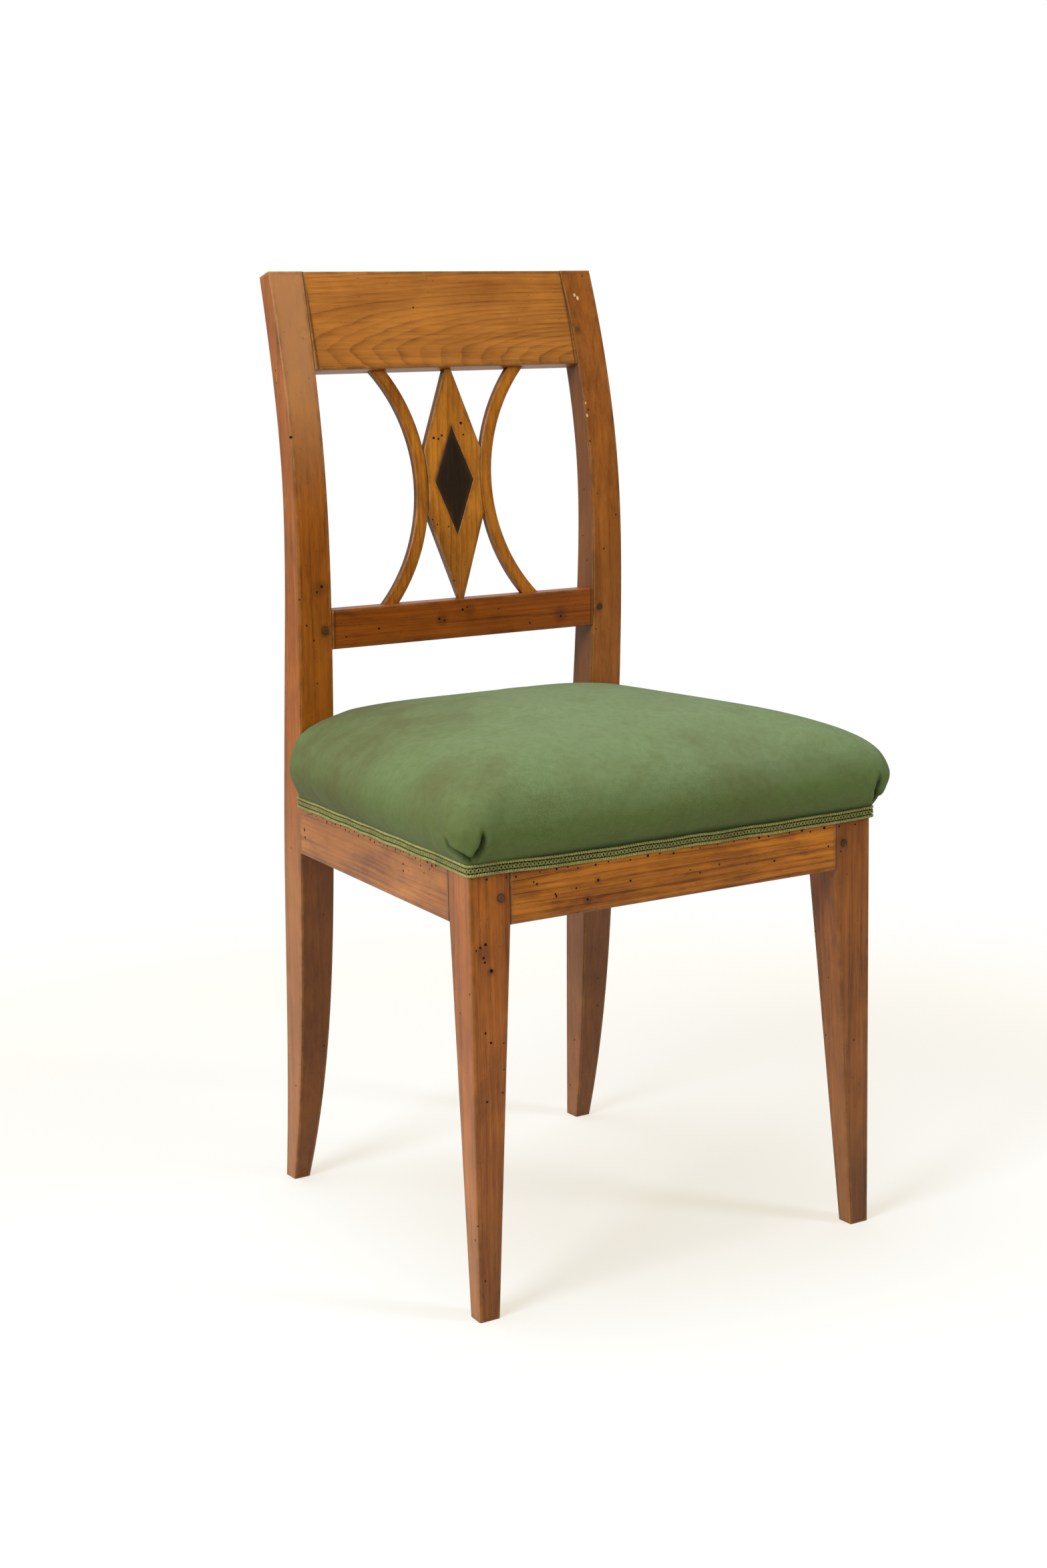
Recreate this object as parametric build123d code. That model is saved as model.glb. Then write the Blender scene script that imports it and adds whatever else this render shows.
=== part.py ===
from build123d import *
import math
import os

# Side chair of about 1820 to 1840: fruitwood frame, lozenge splat between two bows, stuffed-over seat.
# Millimetres. X runs across the chair and left is -X, as seen by someone facing it. Y runs from front
# to back, Z is up from the floor. The origin is on the floor, under the middle of the chair's outline.

# Overall sizes
total_height = 880.0
front_width = 422.0  # over the outer faces of the front legs
rear_width = 362.0  # over the outer faces of the rear legs, at the seat
seat_depth = 363.0  # from the front rail's face to the front of the rear legs
seat_crown_height = 488.0

# Seat frame
rail_bottom = 339.0
rail_height = 62.0
rail_thickness = 24.0
rear_rail_inset = 2.0  # the rear rail's back face stands inside the rear legs' back faces

# Front legs, square at the rails and tapered on their two inner faces
front_leg_width = 39.0
front_leg_depth = 40.0
front_foot_width = 20.0
front_foot_depth = 18.0

# Rear legs, each sawn with its back post from one plank
post_width = 36.0
top_span = 355.0  # over the outer faces at the top
rear_foot_span = 351.0
rear_foot_width = 17.0
rear_taper_height = 290.0  # the inner face runs straight above this height
rear_bend_height = 140.0
# How far the post's front edge stands behind its place at the seat rails
rear_foot_rake = 50.0
rear_bend_rake = 19.5
stay_rake = -15.0
back_bend_rake = -12.5
crest_rake = 3.0
top_rake = 29.0
# Depth of the post, front to back, at the same places
rear_foot_thick = 19.0
rear_bend_thick = 31.0
seat_post_thick = 35.5
stay_post_thick = 31.0
back_bend_thick = 25.0
crest_post_thick = 23.5
top_post_thick = 19.0

# Back
stay_bottom = 532.0
stay_height = 37.0
stay_thickness = 20.0
crest_height = 90.0
crest_thickness = 17.5
splat_thickness = 7.0
splat_setback = 8.0  # behind the rails' front faces
bow_width = 13.0
bow_waist = 84.0  # over the bows' outer edges, where they are closest
bow_spread = 174.0  # over the bows' outer edges, where they meet the rails
lozenge_width = 85.0  # over the side points, which the bows cut off
lozenge_tip = 5.0
lozenge_rise = 2.5  # of the side points and the inlay, above the middle of the splat
inlay_width = 42.0
inlay_height = 104.0
inlay_depth = 2.5

# Joinery
tenon_thickness = 8.0
tenon_shoulder = 10.0  # above and below a seat rail's or the crest's tenon
stay_shoulder = 5.0
front_tenon = 22.0
side_tenon = 20.0
tenon_gap = 4.0  # wood left in a post between its rear and side tenons
back_tenon = 20.0
splat_housing = 6.0
fit = 0.15  # clearance of a tenon, peg, screw or tack in its hole
peg_diameter = 6.0
peg_inset = 9.0  # from the tenon's shoulder to the peg's middle
peg_proud = 0.4
front_peg_length = 27.0
front_peg_drop = 7.0  # below the middle of the rail
stay_peg_length = 22.0
crest_peg_length = 14.0
crest_peg_drop = 13.0  # below the middle of the crest

# Corner blocks, glued and screwed inside the seat frame
block_height = 36.0
block_drop = 14.0  # below the rails' top edges
block_reach = 44.0  # along each rail, past the leg
screw_diameter = 4.0
screw_head_diameter = 8.0
screw_head_thickness = 2.0
screw_seat = 12.0  # from the rail's face to the seat of the head
screw_bite = 12.0  # into the rail

# Webbing and hessian
web_width = 50.0
web_thickness = 2.0
web_spacing = 92.0
web_count = 3  # each way
web_margin = 5.0  # from a strap's end to the rail's outer face
web_ramp = 10.0  # length over which a strap rises to pass over another
lay = 0.2  # between layers that lie on each other
hessian_thickness = 0.8
hessian_margin = 8.0  # inside the frame's outer faces

# Seat cover and stuffing
cover_thickness = 1.3
cover_bottom = 384.0
seat_overhang = 19.0
seat_overhang_rear = 7.0
roll_bottom = 393.0  # the roll over the rails starts here
roll_middle = 428.0
roll_fullness = 1.6  # power of the roll's curve, from the rail out to the overhang
roll_steps = 5
crown_fullness = 2.45  # power of the crown's curve, 2 for an ellipse
crown_cap = 0.2  # share of the seat's size that is level on top
crown_steps = 12
cover_corner = 2.4
roll_corner = 24.0
corner_spread = 0.9  # how fast the corners round off towards the crown
post_clearance = 0.5

# Braid and tacks
braid_width = 10.0
braid_thickness = 2.0
braid_bottom = 382.0
tack_shank = 1.4
tack_head = 4.4
tack_head_thickness = 0.8
web_tack_length = 11.0
web_tack_count = 3  # at each end of a strap
web_tack_spacing = 16.0
cover_tack_length = 8.0
cover_tack_pitch = 42.0
cover_tack_margin = 18.0  # from the frame's corners

# Edges rounded by use
leg_edge = 1.5
rail_edge = 1.2
splat_edge = 0.8

# Places that follow from the sizes above
rail_top = rail_bottom + rail_height
rail_middle = rail_bottom + rail_height / 2
stay_top = stay_bottom + stay_height
stay_middle = stay_bottom + stay_height / 2
crest_bottom = total_height - crest_height
back_bend = stay_top + 0.6 * (crest_bottom - stay_top)
rear_reach = seat_depth + rear_foot_rake + rear_foot_thick
front_y = -(rear_reach - seat_overhang) / 2
rear_y = front_y + seat_depth
front_leg_back = front_y + front_leg_depth
rear_rail_back = rear_y + seat_post_thick - rear_rail_inset
rear_rail_front = rear_rail_back - rail_thickness
front_half = front_width / 2
front_leg_inner = front_half - front_leg_width
rear_half = rear_width / 2
post_inner = rear_half - post_width
post_middle = rear_half - post_width / 2
top_inner = top_span / 2 - post_width
rear_tenon = post_width - rail_thickness / 2 - tenon_thickness / 2 - tenon_gap
side_slope = (front_half - rear_half) / seat_depth
side_angle = math.degrees(math.atan(side_slope))
side_cosine = math.cos(math.radians(side_angle))
crest_lean = math.degrees(math.atan((top_rake - crest_rake) / crest_height))
far = 2 * total_height


def half_width(y):
    # Half the seat frame's width over its outer faces, at depth y.
    return front_half - side_slope * (y - front_y)


def inner_half(y, inset):
    # Half the width at depth y, to a line that lies inset from the side rail's outer face.
    return half_width(y) - inset / side_cosine


def box_between(low, high):
    size = [b - a for a, b in zip(low, high)]
    return Pos(*low) * Box(*size, align=(Align.MIN, Align.MIN, Align.MIN))


def both_sides(part):
    # A right-hand piece and its left-hand twin.
    return [part, mirror(part, about=Plane.YZ)]


def softened(part, radius, shortest):
    # Rounds the edges that are at least as long as shortest.
    long_edges = [edge for edge in part.edges() if edge.length >= shortest]
    return fillet(long_edges, radius)


def spread(start, end, pitch):
    # Evenly spaced places from start to end, about pitch apart.
    steps = max(1, round((end - start) / pitch))
    return [start + (end - start) * step / steps for step in range(steps + 1)]


# Rear legs: the side outline, front and back edges, in depth and height

stations = [
    (0.0, rear_foot_rake, rear_foot_thick),
    (rear_bend_height, rear_bend_rake, rear_bend_thick),
    (rail_bottom, 0.0, seat_post_thick),
    (stay_middle, stay_rake, stay_post_thick),
    (back_bend, back_bend_rake, back_bend_thick),
    (crest_bottom, crest_rake, crest_post_thick),
]
crest_across = Vector(math.cos(math.radians(crest_lean)), -math.sin(math.radians(crest_lean)))
top_front = Vector(rear_y + top_rake, total_height)
top_back = top_front + crest_across * top_post_thick
front_points = [Vector(rear_y + rake, z) for z, rake, thick in stations] + [top_front]
back_points = [Vector(rear_y + rake + thick, z) for z, rake, thick in stations] + [top_back]
front_line = Spline(*front_points)
back_line = Spline(*back_points)


def behind_posts(gap):
    # Everything behind the posts' front faces, from gap in front of them, right of the middle.
    edge = Pos(-gap, 0) * front_line
    start = edge @ 0
    end = edge @ 1
    outline = edge + Polyline(end, (end.X, far), (far, far), (far, start.Y), start)
    return extrude(Plane.YZ * make_face(outline), far)


def make_post_column():
    # The right rear leg's outline as seen from the front, right through the chair.
    foot_outer = rear_foot_span / 2
    outer = ThreePointArc((foot_outer, 0), (rear_half, rail_top), (top_span / 2, total_height))
    inner = Spline(
        (foot_outer - rear_foot_width, 0),
        (post_inner, rear_taper_height),
        (post_inner, rail_top),
        (top_inner, total_height),
    )
    outline = outer + inner + Line(inner @ 0, outer @ 0) + Line(inner @ 1, outer @ 1)
    return Pos(0, far / 2, 0) * extrude(Plane.XZ * make_face(outline), far)


def make_rear_blank():
    # The right rear leg before its joints are cut: a plank sawn to the side and the front outlines.
    outline = front_line + Line(top_front, top_back) + back_line + Line(back_points[0], front_points[0])
    plank = extrude(Plane.YZ * make_face(outline), far)
    return plank & post_column


def make_front_blank():
    # The right front leg before its joints are cut.
    def section(width, depth):
        inner = front_half - width
        back = front_y + depth
        return Polygon(
            (inner, front_y), (front_half, front_y), (half_width(back), back), (inner, back), align=None
        )

    square = section(front_leg_width, front_leg_depth)
    foot = section(front_foot_width, front_foot_depth)
    block = Pos(0, 0, rail_bottom) * extrude(square, rail_height)
    return block + loft([foot, Pos(0, 0, rail_bottom) * square], ruled=True)


post_slab = behind_posts(0)
post_column = make_post_column()
post_columns = both_sides(post_column)
rear_blank = make_rear_blank()
front_blank = make_front_blank()


# Tenons, each as a bar that runs through its rail and out at both ends

seat_tenon_height = rail_height - 2 * tenon_shoulder
crest_front = Vector(0, rear_y + (crest_rake + top_rake) / 2, crest_bottom + crest_height / 2)
crest_place = Pos(*crest_front) * Rot(-crest_lean, 0, 0)


def tenon_bar(length, height, gap):
    # Along X, centred.
    return Box(length + 2 * gap, tenon_thickness + 2 * gap, height + 2 * gap)


def front_tenon_bar(gap):
    bar = tenon_bar(2 * (front_leg_inner + front_tenon), seat_tenon_height, gap)
    return Pos(0, front_y + rail_thickness / 2, rail_middle) * bar


def rear_tenon_bar(gap):
    bar = tenon_bar(2 * (post_inner + rear_tenon), seat_tenon_height, gap)
    return Pos(0, rear_rail_back - rail_thickness / 2, rail_middle) * bar


def side_tenon_bar(gap):
    middle = (front_leg_back + rear_y) / 2
    length = (rear_y - front_leg_back) / side_cosine + 2 * side_tenon
    place = Pos(inner_half(middle, rail_thickness / 2), middle, rail_middle)
    return place * Rot(0, 0, 90 + side_angle) * tenon_bar(length, seat_tenon_height, gap)


def stay_tenon_bar(gap):
    bar = tenon_bar(2 * (post_inner + back_tenon), stay_height - 2 * stay_shoulder, gap)
    return Pos(0, rear_y + stay_rake + stay_thickness / 2, stay_middle) * bar


def crest_tenon_bar(gap):
    bar = tenon_bar(2 * (top_inner + back_tenon), crest_height - 2 * tenon_shoulder, gap)
    return crest_place * Pos(0, crest_thickness / 2, 0) * bar


# Pegs through the tenons

def peg(length, gap):
    # Along +Y, from just in front of a face at the origin.
    stick = Cylinder(
        peg_diameter / 2 + gap,
        length + peg_proud + gap,
        align=(Align.CENTER, Align.CENTER, Align.MIN),
    )
    return Rot(-90, 0, 0) * Pos(0, 0, -peg_proud) * stick


def front_pegs(gap):
    place = Pos(front_leg_inner + peg_inset, front_y, rail_middle - front_peg_drop)
    return both_sides(place * peg(front_peg_length, gap))


def stay_pegs(gap):
    place = Pos(post_inner + peg_inset, rear_y + stay_rake, stay_middle)
    return both_sides(place * peg(stay_peg_length, gap))


def crest_pegs(gap):
    place = crest_place * Pos(top_inner + peg_inset, 0, -crest_peg_drop)
    return both_sides(place * peg(crest_peg_length, gap))


# Splat, drawn flat with its front face up, then stood up and leaned back between the rails

splat_lean = math.degrees(math.atan((crest_rake - stay_rake) / (crest_bottom - stay_middle)))
splat_half = (crest_bottom - stay_top) / 2
splat_y = rear_y + (stay_rake + crest_rake) / 2 + splat_setback
splat_place = Pos(0, splat_y, stay_top + splat_half) * Rot(90 - splat_lean, 0, 0)
bow_sag = (bow_spread - bow_waist) / 2
bow_radius = (splat_half**2 + bow_sag**2) / (2 * bow_sag)
bow_centre = bow_waist / 2 + bow_radius


def splat_board(face, gap):
    return extrude(Pos(0, 0, gap) * face, splat_thickness + 2 * gap, dir=(0, 0, -1))


def make_bow(gap):
    # The right bow: part of a ring, with ends long enough to be let into the rails.
    section = Rectangle(bow_width + 2 * gap, splat_thickness + 2 * gap)
    section = chamfer(section.vertices(), splat_edge)
    ring_middle = Pos(-bow_radius - bow_width / 2, -splat_thickness / 2)
    whole_ring = revolve(Plane.XZ * ring_middle * section, Axis.Z)
    reach = splat_half + splat_housing + gap
    window = box_between((-bow_centre, -reach, -far), (0, reach, far))
    return Pos(bow_centre, 0, 0) * (whole_ring & window)


def make_lozenge(gap):
    # Cut hollow on both sides to fit the bows, with its tips let into the rails.
    tip = lozenge_tip / 2 + gap
    end = splat_half + splat_housing + gap
    side_point = (lozenge_width / 2 + gap, lozenge_rise)
    right = [(tip, end), (tip, splat_half), side_point, (tip, -splat_half), (tip, -end)]
    left = [(-x, y) for x, y in reversed(right)]
    face = Polygon(*right, *left, align=None)
    for centre in (-bow_centre, bow_centre):
        face -= Pos(centre, 0) * Circle(bow_radius + bow_width + fit)
    return splat_board(face, gap)


def make_inlay(gap):
    x = inlay_width / 2 + gap
    y = inlay_height / 2 + gap
    face = Pos(0, lozenge_rise) * Polygon((x, 0), (0, y), (-x, 0), (0, -y), align=None)
    return extrude(face, inlay_depth + gap, dir=(0, 0, -1))


splat_pockets = [splat_place * part for part in both_sides(make_bow(fit)) + [make_lozenge(fit)]]
bows = [splat_place * part for part in both_sides(make_bow(0))]
lozenge = splat_place * (make_lozenge(0) - make_inlay(fit))
inlay = splat_place * make_inlay(0)


# Screws and tacks, each along its own axis

def screw(gap, sunk):
    # Runs along +Z from the seat of its head, which is at the origin and may be sunk in a counterbore.
    low = (Align.CENTER, Align.CENTER, Align.MIN)
    shank = Cylinder(screw_diameter / 2 + gap, screw_seat + screw_bite + gap, align=low)
    depth = screw_head_thickness + sunk
    head = Cylinder(screw_head_diameter / 2 + gap, depth, align=low)
    return shank + Pos(0, 0, -depth) * head


def tack(length, gap):
    # Points down from the surface at the origin, with its head on top.
    shank = Cylinder(tack_shank / 2 + gap, length + gap, align=(Align.CENTER, Align.CENTER, Align.MAX))
    head = Cylinder(
        tack_head / 2 + gap, tack_head_thickness + gap, align=(Align.CENTER, Align.CENTER, Align.MIN)
    )
    return shank + head


# Corner blocks

block_top = rail_top - block_drop
block_middle = block_top - block_height / 2


def make_block(*corners):
    return Pos(0, 0, block_top) * extrude(Polygon(*corners, align=None), block_height, dir=(0, 0, -1))


front_block_end = front_leg_back + block_reach
rear_block_end = rear_y - block_reach
side_outward = Vector(side_cosine, math.sin(math.radians(side_angle)), 0)
front_block = make_block(
    (front_leg_inner, front_y + rail_thickness),
    (front_leg_inner - block_reach, front_y + rail_thickness),
    (inner_half(front_block_end, rail_thickness), front_block_end),
    (inner_half(front_leg_back, rail_thickness), front_leg_back),
    (front_leg_inner, front_leg_back),
)
rear_block = make_block(
    (post_inner, rear_rail_front),
    (post_inner - block_reach, rear_rail_front),
    (inner_half(rear_block_end, rail_thickness), rear_block_end),
    (inner_half(rear_y, rail_thickness), rear_y),
    (post_inner, rear_y),
)
rear_block -= rear_blank


def screw_planes():
    # Where the right-hand blocks' screws sit: into the front, rear and side rails.
    inside = rail_thickness + screw_seat
    front_x = front_leg_inner - block_reach / 2
    rear_x = post_inner - block_reach / 2
    planes = [
        Plane((front_x, front_y + inside, block_middle), z_dir=(0, -1, 0)),
        Plane((rear_x, rear_rail_front - screw_seat, block_middle), z_dir=(0, 1, 0)),
    ]
    for y in (front_leg_back + block_reach / 2, rear_y - block_reach / 2):
        planes.append(Plane((inner_half(y, inside), y, block_middle), z_dir=side_outward))
    return planes


def screws(gap, sunk):
    right = [plane * screw(gap, sunk) for plane in screw_planes()]
    return right + [mirror(part, about=Plane.YZ) for part in right]


# Webbing, woven over and under

web_offsets = [web_spacing * (index - (web_count - 1) / 2) for index in range(web_count)]
web_middle = (front_y + rail_thickness + rear_rail_front) / 2
web_ends = (front_y + web_margin, rear_rail_back - web_margin)


def strap_outline(start, end, crossings):
    # The strap seen edge on: it lies on the rails and lifts over every second strap that it crosses.
    lift = rail_top + web_thickness + lay
    line = [(start, rail_top)]
    for middle in crossings:
        near = middle - web_width / 2 - lay
        past = middle + web_width / 2 + lay
        line += [(near - web_ramp, rail_top), (near, lift), (past, lift), (past + web_ramp, rail_top)]
    line.append((end, rail_top))
    upper = [(along, z + web_thickness) for along, z in reversed(line)]
    return Polygon(*line, *upper, align=None)


def straps_to_back():
    straps = []
    for index, x in enumerate(web_offsets):
        crossings = [web_middle + y for row, y in enumerate(web_offsets) if (index + row) % 2 == 0]
        outline = Plane.YZ * strap_outline(*web_ends, crossings)
        straps.append(Pos(x - web_width / 2, 0, 0) * extrude(outline, web_width))
    return straps


def straps_across():
    straps = []
    for row, offset in enumerate(web_offsets):
        y = web_middle + offset
        crossings = [x for index, x in enumerate(web_offsets) if (index + row) % 2 == 1]
        end = half_width(y + web_width / 2) - web_margin
        outline = Plane.XZ * strap_outline(-end, end, crossings)
        straps.append(Pos(0, y + web_width / 2, 0) * extrude(outline, web_width))
    return straps


def web_tacks(gap):
    row = [web_tack_spacing * (index - (web_tack_count - 1) / 2) for index in range(web_tack_count)]
    rail_line = rail_thickness / 2
    places = []
    for offset in web_offsets:
        for step in row:
            places += [(offset + step, front_y + rail_line), (offset + step, rear_rail_back - rail_line)]
            y = web_middle + offset + step
            places += [(inner_half(y, rail_line), y), (-inner_half(y, rail_line), y)]
    return [Pos(x, y, rail_top + web_thickness) * tack(web_tack_length, gap) for x, y in places]


# Seat: outlines in plan, then the roll over the rails and the crown, as a loft

cover_face = lay + cover_thickness
braid_face = cover_face + lay


def back_overhang(overhang):
    # The roll stands out less at the back than at the front and the sides.
    if overhang < cover_face:
        return overhang
    share = (seat_overhang_rear - cover_face) / (seat_overhang - cover_face)
    return cover_face + share * (overhang - cover_face)


def seat_plan(overhang, overhang_back, corner, share=1, step=0):
    # The seat frame's outline, grown, then shrunk to a share of its size and moved in by step.
    front = front_y - overhang
    back = rear_rail_back + overhang_back
    middle = (front + back) / 2
    front_x = (half_width(front) + overhang / side_cosine) * share - step
    back_x = (half_width(back) + overhang / side_cosine) * share - step
    front = middle - (middle - front) * share + step
    back = middle + (back - middle) * share - step
    corners = Polygon((-front_x, front), (front_x, front), (back_x, back), (-back_x, back), align=None)
    return fillet(corners.vertices(), corner)


def roll_rows():
    # Overhang, height and corner radius, from the rails up to where the roll stands out most.
    rows = []
    for step in range(roll_steps):
        share = 1 - step / roll_steps
        overhang = cover_face + (seat_overhang - cover_face) * (1 - share**roll_fullness)
        height = roll_middle - (roll_middle - roll_bottom) * share
        rows.append((overhang, height, cover_corner + (roll_corner - cover_corner) * (1 - share), 1))
    return rows


def crown_rows():
    # The same from there up to the crown, where the outline shrinks and its corners grow rounder.
    rows = []
    level = math.acos(crown_cap ** (crown_fullness / 2))
    for step in range(crown_steps + 1):
        angle = level * step / crown_steps
        share = math.cos(angle) ** (2 / crown_fullness)
        rise = math.sin(angle) ** (2 / crown_fullness)
        height = roll_middle + (seat_crown_height - roll_middle) * rise
        corner = (roll_corner + corner_spread * rear_half * (1 - share)) * share
        rows.append((seat_overhang, height, corner, share))
    return rows


def seat_body(inset):
    # The seat's form, with its surface moved in by inset.
    rows = roll_rows() + crown_rows()
    sections = []
    for index, (overhang, height, corner, share) in enumerate(rows):
        before = rows[max(index - 1, 0)]
        after = rows[min(index + 1, len(rows) - 1)]
        inward = before[0] - after[0] + rear_half * (before[3] - after[3])
        outward = Vector(after[1] - before[1], inward).normalized() if index > 0 else Vector(1, 0)
        radius = max(corner - inset * outward.X, cover_corner - cover_thickness)
        plan = seat_plan(overhang, back_overhang(overhang), radius, share, inset * outward.X)
        sections.append(Pos(0, 0, height - inset * outward.Y) * plan)
    return loft(sections, ruled=True)


def post_notches(gap):
    # Room for the posts at the seat's back corners.
    return both_sides(Pos(post_inner - gap, 0, 0) * behind_posts(gap))


def post_turns(inset):
    # What the roll leaves out where it turns in to meet the posts.
    roll_rake = stay_rake * (roll_middle - rail_bottom) / (stay_middle - rail_bottom)
    centre = Pos(rear_half, rear_y + roll_rake - post_clearance - roll_corner, roll_bottom)
    corner = Rectangle(far, far, align=(Align.MIN, Align.MIN)) - Circle(roll_corner - inset)
    return both_sides(centre * extrude(corner, far))


def seat_form(inset):
    # The stuffed seat between the posts, with its surface moved in by inset.
    return seat_body(inset) - post_notches(post_clearance + inset) - post_turns(inset)


def ring(inner, outer, corner_inner, corner_outer, bottom, height):
    # A band round the seat frame between two overhangs.
    face = seat_plan(outer, outer, corner_outer) - seat_plan(inner, inner, corner_inner)
    return Pos(0, 0, bottom) * extrude(face, height)


hessian_bottom = rail_top + 2 * web_thickness + 2 * lay
stuffing_bottom = hessian_bottom + hessian_thickness + lay


def make_cover():
    # Turned in against the posts, and down over the frame to its lower edge under the braid.
    inner_corner = cover_corner - cover_thickness
    skirt = ring(lay, cover_face, inner_corner, cover_corner, cover_bottom, roll_bottom - cover_bottom)
    frame_plan = Pos(0, 0, roll_bottom) * seat_plan(lay, lay, inner_corner)
    frame_room = extrude(frame_plan, stuffing_bottom - roll_bottom)
    skirt -= post_notches(post_clearance)
    return skirt + (seat_form(0) - seat_form(cover_thickness) - frame_room)


def make_stuffing():
    return seat_form(cover_thickness + lay) & box_between((-far, -far, stuffing_bottom), (far, far, far))


def make_hessian():
    plan = seat_plan(-hessian_margin, -hessian_margin, roll_corner)
    return Pos(0, 0, hessian_bottom) * extrude(plan, hessian_thickness) - post_notches(post_clearance)


def make_braid():
    # A run round the front and sides, and a short run between the posts at the back.
    outer = braid_face + braid_thickness
    band = ring(braid_face, outer, cover_corner, cover_corner + braid_thickness, braid_bottom, braid_width)
    return sorted((band - post_notches(post_clearance)).solids(), key=lambda run: run.center().Y)


def cover_tacks(gap):
    z = braid_bottom + braid_width / 2
    planes = []
    for x in spread(cover_tack_margin - front_half, front_half - cover_tack_margin, cover_tack_pitch):
        planes.append(Plane((x, front_y - cover_face, z), z_dir=(0, -1, 0)))
    for x in spread(cover_tack_margin - post_inner, post_inner - cover_tack_margin, cover_tack_pitch):
        planes.append(Plane((x, rear_rail_back + cover_face, z), z_dir=(0, 1, 0)))
    for y in spread(front_y + cover_tack_margin, rear_y - cover_tack_margin, cover_tack_pitch):
        x = inner_half(y, -cover_face)
        planes.append(Plane((x, y, z), z_dir=side_outward))
        planes.append(Plane((-x, y, z), z_dir=(-side_outward.X, side_outward.Y, 0)))
    return [plane * tack(cover_tack_length, gap) for plane in planes]


# Frame pieces with their joints cut

tack_holes = web_tacks(fit) + cover_tacks(fit)
front_leg = softened(front_blank, leg_edge, rail_bottom)
rear_leg = softened(rear_blank, leg_edge, rail_bottom)
front_joints = [front_tenon_bar(fit)] + both_sides(side_tenon_bar(fit)) + front_pegs(fit)
rear_joints = [rear_tenon_bar(fit), stay_tenon_bar(fit), crest_tenon_bar(fit)]
rear_joints += both_sides(side_tenon_bar(fit)) + stay_pegs(fit) + crest_pegs(fit)
front_legs = [part - front_joints - cover_tacks(fit) for part in both_sides(front_leg)]
rear_legs = [part - rear_joints for part in both_sides(rear_leg)]


def make_front_rail():
    low = (-front_leg_inner, front_y, rail_bottom)
    high = (front_leg_inner, front_y + rail_thickness, rail_top)
    return softened(box_between(low, high), rail_edge, 2 * front_leg_inner) + front_tenon_bar(0)


def make_rear_rail():
    low = (-post_middle, rear_rail_front, rail_bottom)
    high = (post_middle, rear_rail_back, rail_top)
    body = softened(box_between(low, high), rail_edge, 2 * post_inner)
    return body - post_columns + rear_tenon_bar(0)


def make_side_rail():
    front = front_leg_back
    back = rear_y + rail_thickness
    plan = Polygon(
        (half_width(front), front),
        (half_width(back), back),
        (inner_half(back, rail_thickness), back),
        (inner_half(front, rail_thickness), front),
        align=None,
    )
    body = softened(Pos(0, 0, rail_bottom) * extrude(plan, rail_height), rail_edge, back - front)
    return body - post_slab + side_tenon_bar(0)


def back_board(thickness, across):
    # A board between the posts whose front face follows theirs.
    back = Pos(*(across * thickness)) * front_line
    outline = front_line + Line(front_line @ 1, back @ 1) + back + Line(back @ 0, front_line @ 0)
    return Pos(-post_middle, 0, 0) * extrude(Plane.YZ * make_face(outline), 2 * post_middle)


def make_stay_rail():
    board = back_board(stay_thickness, Vector(1, 0))
    rail = board & box_between((-far, -far, stay_bottom), (far, far, stay_top))
    return softened(rail, rail_edge, 2 * post_inner) - post_columns + stay_tenon_bar(0)


def make_crest():
    board = back_board(crest_thickness, crest_across)
    chord = crest_height / math.cos(math.radians(crest_lean))
    rail = board & (crest_place * Box(far, far, chord))
    return softened(rail, rail_edge, 2 * top_inner) - post_columns + crest_tenon_bar(0)


screw_holes = screws(fit, 0)
block_holes = screws(fit, block_reach)
front_rail = make_front_rail() - front_pegs(fit) - tack_holes - screw_holes
rear_rail = make_rear_rail() - tack_holes - screw_holes
side_rails = [part - tack_holes - screw_holes for part in both_sides(make_side_rail())]
stay_rail = make_stay_rail() - stay_pegs(fit) - splat_pockets
crest = make_crest() - crest_pegs(fit) - splat_pockets
front_blocks = [part - block_holes for part in both_sides(front_block)]
rear_blocks = [part - block_holes for part in both_sides(rear_block)]
braid_round, braid_back = [run - cover_tacks(fit) for run in make_braid()]


def group(parts):
    return Compound(children=[solid for part in parts for solid in part.solids()])


nodes = {
    "front_leg_right": front_legs[0],
    "front_leg_left": front_legs[1],
    "rear_leg_right": rear_legs[0],
    "rear_leg_left": rear_legs[1],
    "front_rail": front_rail,
    "rear_rail": rear_rail,
    "side_rail_right": side_rails[0],
    "side_rail_left": side_rails[1],
    "stay_rail": stay_rail,
    "crest_rail": crest,
    "splat_bow_right": bows[0],
    "splat_bow_left": bows[1],
    "splat_lozenge": lozenge,
    "lozenge_inlay": inlay,
    "front_rail_pegs": group(front_pegs(0)),
    "stay_rail_pegs": group(stay_pegs(0)),
    "crest_rail_pegs": group(crest_pegs(0)),
    "corner_block_front_right": front_blocks[0],
    "corner_block_front_left": front_blocks[1],
    "corner_block_rear_right": rear_blocks[0],
    "corner_block_rear_left": rear_blocks[1],
    "corner_block_screws": group(screws(0, 0)),
    "webbing_front_to_back": group([strap - tack_holes for strap in straps_to_back()]),
    "webbing_side_to_side": group([strap - tack_holes for strap in straps_across()]),
    "webbing_tacks": group(web_tacks(0)),
    "hessian": make_hessian(),
    "seat_stuffing": make_stuffing(),
    "seat_cover": make_cover() - cover_tacks(fit),
    "braid_front_and_sides": braid_round,
    "braid_back": braid_back,
    "cover_tacks": group(cover_tacks(0)),
}

os.makedirs("parts", exist_ok=True)
for name, node in nodes.items():
    export_step(node, f"parts/{name}.step")
    print(name, len(node.solids()), round(node.volume))
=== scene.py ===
import math
import bmesh
import bpy
import numpy as np
from mathutils import Matrix, Vector
from mathutils.bvhtree import BVHTree


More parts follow.
